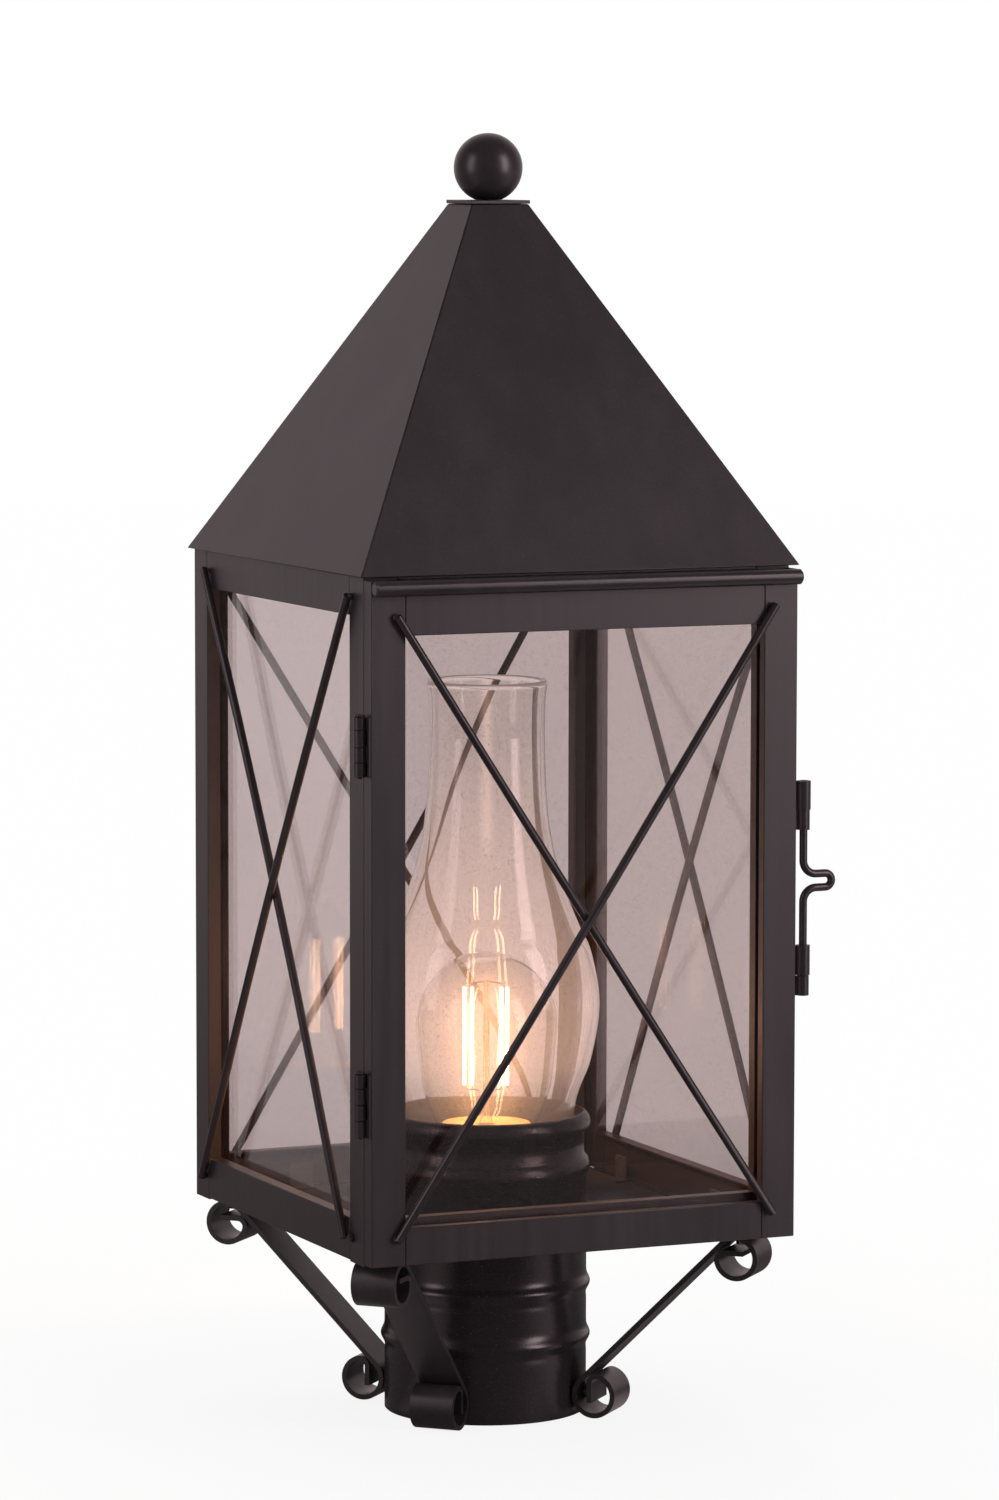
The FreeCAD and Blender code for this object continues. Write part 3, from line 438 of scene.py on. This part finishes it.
# the lit filaments: coated grains that glow in two tones
filamentLook = {"strength": 38.0, "hot": (1.0, 0.6, 0.27, 1), "pale": (1.0, 0.82, 0.56, 1),
                "coat": (1.0, 0.62, 0.22, 1), "paleCoat": (1.0, 0.78, 0.42, 1), "grain": (300, 300, 900),
                "levels": (0.2, 0.8), "dimmest": 0.7, "rough": (0.4, 0.7)}


def buildFilamentMaterial():
    material, tree, shader = startMaterial("litFilament")
    grains = noiseAt(tree, scaledSpot(tree, objectSpot(tree), filamentLook["grain"]), 1.0, 2.0)
    coat = mixColor(tree, grains, filamentLook["coat"], filamentLook["paleCoat"])
    wire(tree, coat, shader.inputs["Base Color"])
    hot = mixColor(tree, grains, filamentLook["hot"], filamentLook["pale"])
    share = spread(tree, grains, *filamentLook["levels"], filamentLook["dimmest"], 1.0)
    lit = mixColor(tree, share, black, hot)
    wire(tree, lit, shader.inputs["Emission Color"])
    shader.inputs["Emission Strength"].default_value = filamentLook["strength"]
    wire(tree, spread(tree, grains, 0, 1, *filamentLook["rough"]), shader.inputs["Roughness"])
    return material


litFilament = buildFilamentMaterial()
materialOfSlot = {"black_paint": blackPaint, "pane_glass": paneGlass, "clear_glass": chimneyGlass,
                  "screw_steel": screwSteel, "brass_shell": brassShell, "holder_body": holderBody,
                  "filament": litFilament}


def placed(name, mesh, body, material, nodes=()):
    piece = inScene(name, mesh)
    mesh.materials.clear()
    mesh.materials.append(material)
    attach(piece, body)
    if nodes:
        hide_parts(*nodes)
    return piece


def dressed(node, bevel, segments=2, sharp=30.0, material=None):
    # a merged copy of one CAD node, its edges rounded by bevel millimetres
    mesh = frame["nodes"][node].data.copy()
    mesh.name = node + "Dressed"
    builder = bmesh.new()
    builder.from_mesh(mesh)
    bmesh.ops.remove_doubles(builder, verts=builder.verts, dist=0.01 * mm)
    bmesh.ops.dissolve_limit(builder, angle_limit=math.radians(0.5), verts=builder.verts, edges=builder.edges)
    bmesh.ops.recalc_face_normals(builder, faces=builder.faces)
    builder.to_mesh(mesh)
    builder.free()
    mesh.shade_smooth()
    mesh.set_sharp_from_angle(angle=math.radians(sharp))
    slotName = slotOfNode[node]
    finish = material or materialOfSlot[slotName]
    piece = placed(node + "Dressed", mesh, bodyOfNode[node], finish, [node])
    if bevel:
        soften = piece.modifiers.new("soften", "BEVEL")
        soften.width = bevel * mm
        soften.segments = segments
        soften.limit_method = "ANGLE"
        soften.angle_limit = math.radians(sharp)
        soften.use_clamp_overlap = True
        soften.harden_normals = False
        soften.miter_outer = "MITER_ARC"
    return piece


def lathe(name, outline, steps):
    # outline is a closed line of (radius, height) in metres, turned about Z
    builder = bmesh.new()
    angles = [2 * math.pi * k / steps for k in range(steps)]
    rings = []
    for radius, height in outline:
        if radius < 0.001 * mm:
            rings.append([builder.verts.new((0, 0, height))])
            continue
        rings.append([builder.verts.new((radius * math.cos(angle), radius * math.sin(angle), height))
                      for angle in angles])
    for first, second in zip(rings, rings[1:] + rings[:1]):
        if len(first) == 1 and len(second) == 1:
            continue
        for k in range(steps):
            n = (k + 1) % steps
            if len(first) == 1:
                builder.faces.new((first[0], second[k], second[n]))
            elif len(second) == 1:
                builder.faces.new((first[k], second[0], first[n]))
            else:
                builder.faces.new((first[k], second[k], second[n], first[n]))
    bmesh.ops.recalc_face_normals(builder, faces=builder.faces)
    mesh = meshFrom(builder, name)
    mesh.shade_smooth()
    return mesh


def splinePoints(points, steps):
    # a smooth curve through the points, with this many steps from each to the next
    result = []
    for place in range(len(points) - 1):
        before = points[max(place - 1, 0)]
        first = points[place]
        second = points[place + 1]
        after = points[min(place + 2, len(points) - 1)]
        for k in range(steps):
            t = k / steps
            spot = []
            for a, b, c, d in zip(before, first, second, after):
                spot.append(0.5 * (2 * b + (c - a) * t + (2 * a - 5 * b + 4 * c - d) * t * t
                                   + (3 * b - a - 3 * c + d) * t ** 3))
            result.append(tuple(spot))
    result.append(points[-1])
    return result


print("scene: sheet metal")
# how far the edges are rounded, in millimetres
edge = {"folded": 0.28, "roof": 0.5, "flat": 0.2, "rod": 0.35, "pin": 0.25, "small": 0.15, "holder": 0.3,
        "clip": 0.12, "doorClip": 0.1, "pane": 0.25}
# turned pieces and round bars stay sharp where their faces meet at more than this
turnedSharp = math.radians(40)
foldedNodes = [node for node in frame["nodes"]
               if node.startswith(("post_back", "post_front", "top_rail", "bottom_rail", "door_rail",
                                   "door_stile", "bracket_back", "bracket_front"))]
for node in foldedNodes:
    dressed(node, edge["folded"])
for node in ("roof_front", "roof_back", "roof_left", "roof_right"):
    dressed(node, edge["roof"], segments=3, material=roofPaint)
for node in ("cap_plate", "finial_clamp", "floor_pan"):
    dressed(node, edge["flat"])
for node in ("rods_left", "rods_right", "rods_back", "door_rods"):
    dressed(node, edge["rod"], segments=3, material=rodPaint)
dressed("door_bar", 0.0, sharp=20.0, material=rodPaint)
for node in ("hinge_leaves_door", "hinge_leaves_case", "latch_guides", "latch_cup"):
    dressed(node, edge["small"])
for node in ("hinge_pins", "latch_pin"):
    dressed(node, edge["pin"], segments=3, material=rodPaint)
for node in ("bracket_screws", "clamp_screws", "finial_stud", "holder_shell", "holder_contact"):
    dressed(node, edge["small"])
dressed("lamp_holder", edge["holder"], segments=3)
dressed("pane_clips", edge["clip"])
dressed("door_pane_clips", edge["doorClip"])
for node in ("pane_left", "pane_right", "pane_back", "door_pane"):
    dressed(node, edge["pane"])

print("scene: spun pieces")
ball = {"radius": 13.5, "rings": 64, "steps": 128}


def buildFinialBall():
    # a ball with a flat foot, which stands where the CAD's does
    low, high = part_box("finial_ball")
    radius = ball["radius"] * mm
    center = high.z - radius
    start = math.asin((low.z - center) / radius)
    outline = [(0.0, low.z)]
    for k in range(ball["rings"]):
        angle = start + (math.pi / 2 - start) * k / ball["rings"]
        outline.append((radius * math.cos(angle), center + radius * math.sin(angle)))
    outline.append((0.0, center + radius))
    mesh = lathe("finialBall", outline, ball["steps"])
    mesh.transform(Matrix.Translation((0, (low.y + high.y) / 2, 0)))
    mesh.set_sharp_from_angle(angle=turnedSharp)
    placed("finialBall", mesh, "case", ballPaint, ["finial_ball"])


buildFinialBall()

tube = {"radius": 40.2, "bore": 39.0, "passage": 17.3, "gauge": 1.2, "lip": 0.3,
        "beads": (29.9, 50.9), "rise": 1.5, "width": 2.5,
        "grooveDrop": 4.2, "grooveDepth": 0.2, "grooveWidth": 1.5, "rings": 120, "steps": 160}


def tubeRadius(height):
    # the tube's two beads are soft waves with a shallow groove under each
    radius = tube["radius"]
    for bead in tube["beads"]:
        overBead = (height - bead) / tube["width"]
        overGroove = (height - bead + tube["grooveDrop"]) / tube["grooveWidth"]
        radius += tube["rise"] * math.exp(-overBead ** 2)
        radius -= tube["grooveDepth"] * math.exp(-overGroove ** 2)
    return radius


def buildPostFitter():
    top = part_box("post_fitter")[1].z / mm
    lip = tube["lip"]
    outline = [(tube["bore"] + lip, 0.0), (tube["radius"] - lip, 0.0)]
    for k in range(tube["rings"] + 1):
        height = lip + (top - 2 * lip) * k / tube["rings"]
        outline.append((tubeRadius(height), height))
    outline += [(tube["radius"] - lip, top), (tube["passage"], top), (tube["passage"], top - tube["gauge"]),
                (tube["bore"], top - tube["gauge"]), (tube["bore"], lip)]
    mesh = lathe("postFitter", [(radius * mm, height * mm) for radius, height in outline], tube["steps"])
    mesh.set_sharp_from_angle(angle=turnedSharp)
    placed("postFitter", mesh, "case", spunPaint, ["post_fitter"])


buildPostFitter()
dressed("chimney_cup", 0.0, sharp=50.0, material=spunPaint)
dressed("chimney_seat", edge["flat"])
dressed("bulb_cap", edge["holder"])

# outline and rim from the foot up: radius in millimetres, height as a share of the whole
chimney = {"outline": ((34.8, 0.0), (35.5, 0.125), (41.7, 0.22), (44.9, 0.333), (41.7, 0.436), (37.0, 0.492),
                       (30.7, 0.575), (26.2, 0.66), (24.0, 0.745), (23.0, 0.86), (23.1, 0.95), (23.9, 0.992)),
           "rim": ((23.7, 0.9975), (23.1, 1.0), (22.4, 0.9978)), "foot": ((33.3, 0.0), (34.3, 0.0)),
           "wall": 2.0, "stretch": 8, "steps": 160}


def buildChimney():
    low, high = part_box("chimney_glass")

    def scaled(line):
        return [(radius * mm, low.z + share * (high.z - low.z)) for radius, share in line]

    outside = splinePoints(scaled(chimney["outline"]), chimney["stretch"])
    inside = [(radius - chimney["wall"] * mm, height) for radius, height in outside]
    outline = outside + scaled(chimney["rim"]) + inside[::-1] + scaled(chimney["foot"])
    mesh = lathe("chimneyGlass", outline, chimney["steps"])
    placed("chimneyGlass", mesh, "chimney", chimneyGlass, ["chimney_glass"])


buildChimney()

# the bulb's neck as radius and height over its base, up to the widest place, then a rounded dome
bulb = {"neck": ((13.5, 0.0), (14.5, 6.0), (21.0, 15.0), (25.6, 29.0)), "radius": 28.2, "dome": 28.8,
        "wall": 0.8, "stretch": 8, "domeRings": 24, "steps": 128}


def buildBulb():
    low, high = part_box("bulb_glass")
    base = low.z / mm
    top = high.z / mm
    widest = top - bulb["dome"]
    neck = [(radius, base + height) for radius, height in bulb["neck"]] + [(bulb["radius"], widest)]
    neck = splinePoints(neck, bulb["stretch"])
    angles = [k * math.pi / 2 / bulb["domeRings"] for k in range(1, bulb["domeRings"])]
    wall = bulb["wall"]
    outside = neck + [(bulb["radius"] * math.cos(angle), widest + bulb["dome"] * math.sin(angle))
                      for angle in angles] + [(0.0, top)]
    inside = [(radius - wall, height) for radius, height in neck]
    inside += [((bulb["radius"] - wall) * math.cos(angle), widest + (bulb["dome"] - wall) * math.sin(angle))
               for angle in angles] + [(0.0, top - wall)]
    outline = [(radius * mm, height * mm) for radius, height in outside + inside[::-1]]
    mesh = lathe("bulbGlass", outline, bulb["steps"])
    placed("bulbGlass", mesh, "bulb", bulbGlass, ["bulb_glass"])


buildBulb()

print("scene: bulb inside")
# the flared foot as radius and height over the base; the stem goes on as a tube with a round tip
stem = {"foot": ((7.6, 0.0), (6.6, 3.0), (4.0, 9.0), (2.4, 15.0), (1.5, 22.0), (1.3, 30.0)),
        "radius": 1.3, "wall": 0.45, "stretch": 6, "tipRings": 6, "steps": 48}


def buildStem():
    low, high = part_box("bulb_stem")
    radius = stem["radius"] * mm
    foot = [(reach * mm, low.z + height * mm) for reach, height in stem["foot"]]
    shaft = splinePoints(foot, stem["stretch"])
    shaft.append((radius, high.z - radius))
    angles = [k * math.pi / 2 / stem["tipRings"] for k in range(1, stem["tipRings"])]
    tip = [(radius * math.cos(angle), high.z - radius * (1 - math.sin(angle))) for angle in angles]
    inside = [(reach - stem["wall"] * mm, height) for reach, height in shaft]
    outline = shaft + tip + [(0.0, high.z), (0.0, high.z - 2 * radius)] + inside[::-1]
    mesh = lathe("stemGlass", outline, stem["steps"])
    placed("stemGlass", mesh, "bulb", stemGlass, ["bulb_stem"])


buildStem()

# the disc in the neck: a flat ring with a small turned-up rim
disc = {"hole": 3.6, "radius": 17.4, "height": 12.6, "gauge": 0.4, "rimOut": 0.3, "rimIn": 0.5,
        "rimLow": 0.7, "rimTop": 0.8, "steps": 96}


def buildNeckDisc():
    low = disc["height"]
    top = low + disc["gauge"]
    radius = disc["radius"]
    outline = [(disc["hole"], low), (radius, low), (radius + disc["rimOut"], low + disc["rimLow"]),
               (radius, low + disc["rimTop"]), (radius - disc["rimIn"], top), (disc["hole"], top)]
    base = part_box("bulb_stem")[0].z
    mesh = lathe("neckDisc", [(reach * mm, base + height * mm) for reach, height in outline], disc["steps"])
    placed("neckDisc", mesh, "bulb", neckMica)


buildNeckDisc()

# the bars stand side by side across the photo's view, in two pairs
bars = {"turned": -23.65, "places": (-8.7, -5.7, 6.0, 8.3), "radius": 0.62, "steps": 20}
low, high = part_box("bulb_filaments")
barLow = low.z
barHigh = high.z
barMiddle = (barLow + barHigh) / 2
barTurn = Matrix.Rotation(math.radians(bars["turned"]), 3, "Z")


def buildFilaments():
    builder = bmesh.new()
    radius = bars["radius"] * mm
    for place in bars["places"]:
        shift = Matrix.Translation(barTurn @ Vector((place * mm, 0, barMiddle)))
        bmesh.ops.create_cone(builder, cap_ends=True, segments=bars["steps"], radius1=radius,
                              radius2=radius, depth=barHigh - barLow, matrix=shift)
    mesh = meshFrom(builder, "filaments")
    mesh.shade_smooth()
    mesh.set_sharp_from_angle(angle=turnedSharp)
    placed("filaments", mesh, "bulb", litFilament, ["bulb_filaments"])


buildFilaments()


def bentWires(name, paths, radius, body, material):
    # round wires along lists of points, as one plain mesh
    curve = bpy.data.curves.new(name + "Path", "CURVE")
    curve.dimensions = "3D"
    curve.bevel_depth = radius
    curve.bevel_resolution = 3
    curve.use_fill_caps = True
    for path in paths:
        spline = curve.splines.new("POLY")
        spline.points.add(len(path) - 1)
        for point, place in zip(spline.points, path):
            point.co = (*place, 1)
    mesh = meshOf(inScene(name + "Path", curve), name)
    mesh.shade_smooth()
    return placed(name, mesh, body, material)


# each wire leaves its bar, bends a little inward and meets the stem; the lower ones go on down
wires = {"radius": 0.22, "start": 0.2, "bend": 1.6, "bendIn": 0.92, "meet": 2.4, "lowReach": 2.6,
         "highReach": 1.0, "tail": 6.0}


def leadWire(place, height, reach, away):
    start = Vector((place * mm, 0, height + away * wires["start"] * mm))
    bend = Vector((place * wires["bendIn"] * mm, 0, height + away * wires["bend"] * mm))
    meet = Vector((math.copysign(reach, place) * mm, 0, height + away * wires["meet"] * mm))
    return [barTurn @ spot for spot in (start, bend, meet)]


paths = []
for place in bars["places"]:
    lowWire = leadWire(place, barLow, wires["lowReach"], -1)
    paths.append(lowWire + [lowWire[-1] - Vector((0, 0, wires["tail"] * mm))])
    paths.append(leadWire(place, barHigh, wires["highReach"], 1))
bentWires("leadWires", paths, wires["radius"] * mm, "bulb", screwSteel)

print("scene: solder")
# size, inset from the rods' ends and how far the middles stand out from the frame, in millimetres
beads = {"size": 2.1, "flatness": 0.55, "unevenness": 0.35, "seed": 7, "inset": 1.4, "proud": 0.6,
         "fineness": 4, "lumps": 700.0, "level": 0.75}


def buildBeadTree():
    # a lumpy bead at each spot, of uneven size
    tree = bpy.data.node_groups.new("solderBeads", "GeometryNodeTree")
    tree.interface.new_socket("Spots", in_out="INPUT", socket_type="NodeSocketGeometry")
    for label, kind, value in (("Size", "NodeSocketFloat", 0.002), ("Flatness", "NodeSocketFloat", 0.5),
                               ("Unevenness", "NodeSocketFloat", 0.3), ("Seed", "NodeSocketInt", 1)):
        tree.interface.new_socket(label, in_out="INPUT", socket_type=kind).default_value = value
    tree.interface.new_socket("Finish", in_out="INPUT", socket_type="NodeSocketMaterial")
    tree.interface.new_socket("Beads", in_out="OUTPUT", socket_type="NodeSocketGeometry")
    start = tree.nodes.new("NodeGroupInput")
    end = tree.nodes.new("NodeGroupOutput")
    bead = addNode(tree, "GeometryNodeMeshIcoSphere", Subdivisions=beads["fineness"])
    wire(tree, start.outputs["Size"], bead.inputs["Radius"])
    points = tree.nodes.new("GeometryNodeInstanceOnPoints")
    wire(tree, start.outputs["Spots"], points.inputs["Points"])
    wire(tree, bead.outputs["Mesh"], points.inputs["Instance"])
    scale = addNode(tree, "FunctionNodeRandomValue", {"data_type": "FLOAT"})
    wire(tree, maths(tree, "SUBTRACT", 1.0, start.outputs["Unevenness"]), scale.inputs[2])
    scale.inputs[3].default_value = 1.0
    wire(tree, start.outputs["Seed"], scale.inputs["Seed"])
    wire(tree, scale.outputs[1], points.inputs["Scale"])
    real = tree.nodes.new("GeometryNodeRealizeInstances")
    wire(tree, points.outputs[0], real.inputs[0])
    lumps = addNode(tree, "ShaderNodeTexNoise", Scale=beads["lumps"])
    amount = maths(tree, "SUBTRACT", lumps.outputs[0], beads["level"])
    amount = maths(tree, "MULTIPLY", amount, start.outputs["Size"])
    amount = maths(tree, "MULTIPLY", amount, start.outputs["Flatness"])
    offset = addNode(tree, "ShaderNodeVectorMath", {"operation": "SCALE"})
    wire(tree, tree.nodes.new("GeometryNodeInputNormal").outputs[0], offset.inputs[0])
    wire(tree, amount, offset.inputs["Scale"])
    move = tree.nodes.new("GeometryNodeSetPosition")
    wire(tree, real.outputs[0], move.inputs["Geometry"])
    wire(tree, offset.outputs[0], move.inputs["Offset"])
    smooth = tree.nodes.new("GeometryNodeSetShadeSmooth")
    wire(tree, move.outputs[0], smooth.inputs["Geometry"])
    finish = tree.nodes.new("GeometryNodeSetMaterial")
    wire(tree, smooth.outputs[0], finish.inputs["Geometry"])
    wire(tree, start.outputs["Finish"], finish.inputs["Material"])
    wire(tree, finish.outputs[0], end.inputs[0])
    return tree


beadTree = buildBeadTree()


def beadPiece(name, spots, body, material):
    mesh = bpy.data.meshes.new(name + "Spots")
    mesh.from_pydata(spots, [], [])
    holder = inScene(name + "Spots", mesh)
    modifier = holder.modifiers.new("beads", "NODES")
    modifier.node_group = beadTree
    wanted = {"Size": beads["size"] * mm, "Flatness": beads["flatness"], "Unevenness": beads["unevenness"],
              "Seed": beads["seed"], "Finish": material}
    for item in beadTree.interface.items_tree:
        if item.in_out == "INPUT" and item.name in wanted:
            modifier[item.identifier] = wanted[item.name]
    return placed(name, meshOf(holder, name), body, material)


def rodEnds(node, plane, face):
    # both ends of each rod of a crossed pair, on the side that faces along X (0) or Y (1)
    low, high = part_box(node)
    inset = beads["inset"] * mm
    spots = []
    for across in (0, 1):
        for up in (low.z + inset, high.z - inset):
            if plane == 1:
                spots.append(((low.x + inset, high.x - inset)[across], face, up))
            else:
                spots.append((face, (low.y + inset, high.y - inset)[across], up))
    return spots


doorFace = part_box("door_rail_top")[0].y - beads["proud"] * mm
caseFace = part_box("post_back_right")[1].x + beads["proud"] * mm
beadPiece("doorSolder", rodEnds("door_rods", 1, doorFace), "door", blackPaint)
spots = rodEnds("rods_left", 0, -caseFace) + rodEnds("rods_right", 0, caseFace)
spots += rodEnds("rods_back", 1, caseFace)
beadPiece("caseSolder", spots, "case", blackPaint)

print("scene: studio")
photoAzimuth = 23.65
awayFromCamera = (math.sin(math.radians(photoAzimuth)), math.cos(math.radians(photoAzimuth)), 0.0)
# front is the camera's side and back the backdrop's, as mirrors see them or as seen through glass
studio = {"floorRadius": 6.0, "floorDrop": 0.2 * mm, "floorGlow": 0.88, "glowFrom": 0.15, "glowTo": 0.6,
          "floorFront": 0.06, "floorBack": 0.55, "roomFront": 0.08, "roomBack": 1.0,
          "throughFront": 0.4, "throughBack": 0.995, "worldDiffuse": 0.5,
          "mirrorSpan": (-0.2, 2.0), "throughSpan": (0.0, 0.7), "roomSpan": (0.15, 0.95), "roomBend": 1.5,
          "glossColor": (1.0, 0.85, 0.87, 1), "paperDark": (0.86, 0.86, 0.86, 1),
          "paperLight": (0.92, 0.92, 0.92, 1), "paperWhite": 0.995, "paperGrain": 300.0,
          "paperLevels": (0.3, 0.7), "paperRough": (0.7, 0.9), "paperShine": 0.1, "nearest": 0.05}
# each painted reflection strip in degrees, turn from the camera's direction and outer and inner half angle;
# strength
paintedStrips = ((-80.0, 27.0, 8.0, 0.5), (56.0, 22.0, 6.0, 0.35))


def paintedStripBand(tree, spot, distance, turned, outer, inner, glow):
    # a painted reflection: a wedge of the floor that is bright in the middle and fades to its sides
    angle = math.radians(photoAzimuth + turned)
    toward = reachToward(tree, spot, (-math.sin(angle), -math.cos(angle), 0.0))
    share = maths(tree, "DIVIDE", toward, maths(tree, "MAXIMUM", distance, studio["nearest"]))
    return spread(tree, share, math.cos(math.radians(outer)), math.cos(math.radians(inner)), 0.0, glow)


def buildFloorMaterial():
    material, tree, shader = startMaterial("floorPaper")
    spot = objectSpot(tree)
    grain = noiseAt(tree, spot, studio["paperGrain"], 4.0)
    wire(tree, mixColor(tree, grain, studio["paperDark"], studio["paperLight"]), shader.inputs["Base Color"])
    rough = spread(tree, grain, *studio["paperLevels"], *studio["paperRough"])
    wire(tree, rough, shader.inputs["Roughness"])
    shader.inputs["Specular IOR Level"].default_value = studio["paperShine"]
    # to the camera and through glass it is white, with the lantern's shadow left round its foot
    path = tree.nodes.new("ShaderNodeLightPath")
    mirrorRay = path.outputs["Is Glossy Ray"]
    glassRay = path.outputs["Is Transmission Ray"]
    bright = addNode(tree, "ShaderNodeEmission", Color=white, Strength=studio["paperWhite"])
    length = addNode(tree, "ShaderNodeVectorMath", {"operation": "LENGTH"})
    wire(tree, spot, length.inputs[0])
    distance = length.outputs["Value"]
    share = spread(tree, distance, studio["glowFrom"], studio["glowTo"], studio["floorGlow"], 1.0)
    seen = maths(tree, "MAXIMUM", path.outputs["Is Camera Ray"], glassRay)
    paper = mixShader(tree, maths(tree, "MULTIPLY", share, seen), shader.outputs[0], bright.outputs[0])
    # painted light: in gloss the floor is an emission, dark in front of the lantern and pale behind it, as
    # the room is
    behind = reachToward(tree, spot, awayFromCamera)
    mirrored = spread(tree, behind, *studio["mirrorSpan"], studio["floorFront"], studio["floorBack"])
    through = spread(tree, behind, *studio["throughSpan"], studio["throughFront"], studio["throughBack"])
    # painted reflections: for each soft box the paper gets a bright strip of emission, seen only in gloss
    for turned, outer, inner, glow in paintedStrips:
        band = paintedStripBand(tree, spot, distance, turned, outer, inner, glow)
        mirrored = maths(tree, "ADD", mirrored, band)
    dim = tree.nodes.new("ShaderNodeEmission")
    wire(tree, mixColor(tree, glassRay, studio["glossColor"], white), dim.inputs["Color"])
    wire(tree, mixLevel(tree, glassRay, mirrored, through), dim.inputs["Strength"])
    surface = mixShader(tree, mirrorRay, paper, dim.outputs[0])
    wire(tree, surface, tree.nodes["Material Output"].inputs[0])
    return material


def buildFloor():
    builder = bmesh.new()
    bmesh.ops.create_circle(builder, cap_ends=True, radius=studio["floorRadius"], segments=128)
    mesh = meshFrom(builder, "floor")
    mesh.materials.append(buildFloorMaterial())
    floor = inScene("floor", mesh)
    floor.location.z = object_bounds()[0][2] - studio["floorDrop"]


def buildWorld():
    world = bpy.data.worlds.new("studio")
    bpy.context.scene.world = world
    world.use_nodes = True
    tree = world.node_tree
    background = tree.nodes["Background"]
    path = tree.nodes.new("ShaderNodeLightPath")
    mirrorRay = path.outputs["Is Glossy Ray"]
    glassRay = path.outputs["Is Transmission Ray"]
    seen = maths(tree, "ADD", path.outputs["Is Camera Ray"], mirrorRay)
    seen = maths(tree, "ADD", seen, glassRay, True)
    # what gloss sees: a dark room in front of the lantern, the white backdrop behind it
    way = reachToward(tree, tree.nodes.new("ShaderNodeTexCoord").outputs["Generated"], awayFromCamera)
    rise = maths(tree, "POWER", spread(tree, way, *studio["roomSpan"], 0.0, 1.0), studio["roomBend"])
    front = spread(tree, glassRay, 0, 1, studio["roomFront"], studio["throughFront"])
    room = spread(tree, rise, 0, 1, front, studio["roomBack"])
    # a refracted ray counts as glossy too, so only what is left without it is a mirrored one
    mirrored = maths(tree, "SUBTRACT", mirrorRay, glassRay, True)
    wire(tree, mixColor(tree, mirrored, white, studio["glossColor"]), background.inputs["Color"])
    level = spread(tree, seen, 0, 1, studio["worldDiffuse"], 1.0)
    wire(tree, mixLevel(tree, mirrorRay, level, room), background.inputs["Strength"])


buildFloor()
buildWorld()

# two tall soft boxes, each so many degrees from the camera's direction and of so many watts, and a
# weak one above and behind
softboxes = {"left": (60.0, 16.0), "right": (-60.0, 31.0), "wide": 0.7, "tall": 1.9, "distance": 2.3,
             "height": 0.95, "color": (1.0, 0.9, 0.92), "aim": (0, 0, 0.27),
             "topSpot": (0.3, 1.2, 2.1), "topSize": 1.2, "topPower": 14.0}


def areaLight(name, spot, width, height, power, color=(1, 1, 1)):
    light = bpy.data.lights.new(name, "AREA")
    light.shape = "RECTANGLE"
    light.size = width
    light.size_y = height
    light.energy = power
    light.color = color
    holder = inScene(name, light)
    holder.location = spot
    aim = Vector(softboxes["aim"]) - Vector(spot)
    holder.rotation_euler = aim.to_track_quat("-Z", "Y").to_euler()
    return holder


for side in ("left", "right"):
    away, power = softboxes[side]
    angle = math.radians(photoAzimuth + away)
    spot = (-softboxes["distance"] * math.sin(angle), -softboxes["distance"] * math.cos(angle),
            softboxes["height"])
    areaLight(side + "Softbox", spot, softboxes["wide"], softboxes["tall"], power, softboxes["color"])
topSoftbox = areaLight("topSoftbox", softboxes["topSpot"], softboxes["topSize"], softboxes["topSize"],
                       softboxes["topPower"])
topSoftbox.visible_glossy = False

# warm light of the lit filaments: the weaker lamp lights only the bulb and the cup close round it
lamps = {"color": (1.0, 0.6, 0.28), "radius": 12 * mm, "farPower": 4.0, "nearPower": 0.45,
         "near": ("neckDisc", "stemGlass", "leadWires", "filaments", "bulbGlass", "chimney_cupDressed",
                  "chimney_seatDressed")}
closeBy = bpy.data.collections.new("closeBy")
farther = bpy.data.collections.new("farther")
for name in lamps["near"]:
    closeBy.objects.link(bpy.data.objects[name])
    farther.objects.link(bpy.data.objects[name])
for entry in farther.collection_objects:
    entry.light_linking.link_state = "EXCLUDE"


def filamentLamp(name, power, receivers):
    lamp = bpy.data.lights.new(name, "POINT")
    lamp.energy = power
    lamp.color = lamps["color"]
    lamp.shadow_soft_size = lamps["radius"]
    holder = inScene(name, lamp)
    holder.location = (0, 0, barMiddle)
    holder.visible_glossy = False
    holder.visible_transmission = False
    holder.light_linking.receiver_collection = receivers


filamentLamp("filamentGlow", lamps["farPower"], farther)
filamentLamp("neckGlow", lamps["nearPower"], closeBy)

# the photo's camera, solved from the lantern's own corners
photoCamera = {"spot": (-975.2, -2240.2, 507.2), "down": 5.71, "roll": 0.08, "focalPixels": 6212.6,
               "pixelsHigh": 1500, "sensor": 36.0, "farthest": 50.0}


def buildCamera():
    data = bpy.data.cameras.new("photoCamera")
    data.sensor_fit = "VERTICAL"
    data.sensor_height = photoCamera["sensor"]
    data.lens = photoCamera["focalPixels"] / photoCamera["pixelsHigh"] * photoCamera["sensor"]
    data.clip_end = photoCamera["farthest"]
    camera = inScene("photoCamera", data)
    down = math.radians(photoCamera["down"])
    level = math.cos(down)
    forward = Vector((awayFromCamera[0] * level, awayFromCamera[1] * level, -math.sin(down)))
    camera.rotation_euler = forward.to_track_quat("-Z", "Y").to_euler()
    camera.rotation_euler.rotate_axis("Z", math.radians(photoCamera["roll"]))
    camera.location = [value * mm for value in photoCamera["spot"]]
    return camera


bpy.context.scene.camera = buildCamera()
bpy.context.scene.view_settings.view_transform = "Standard"
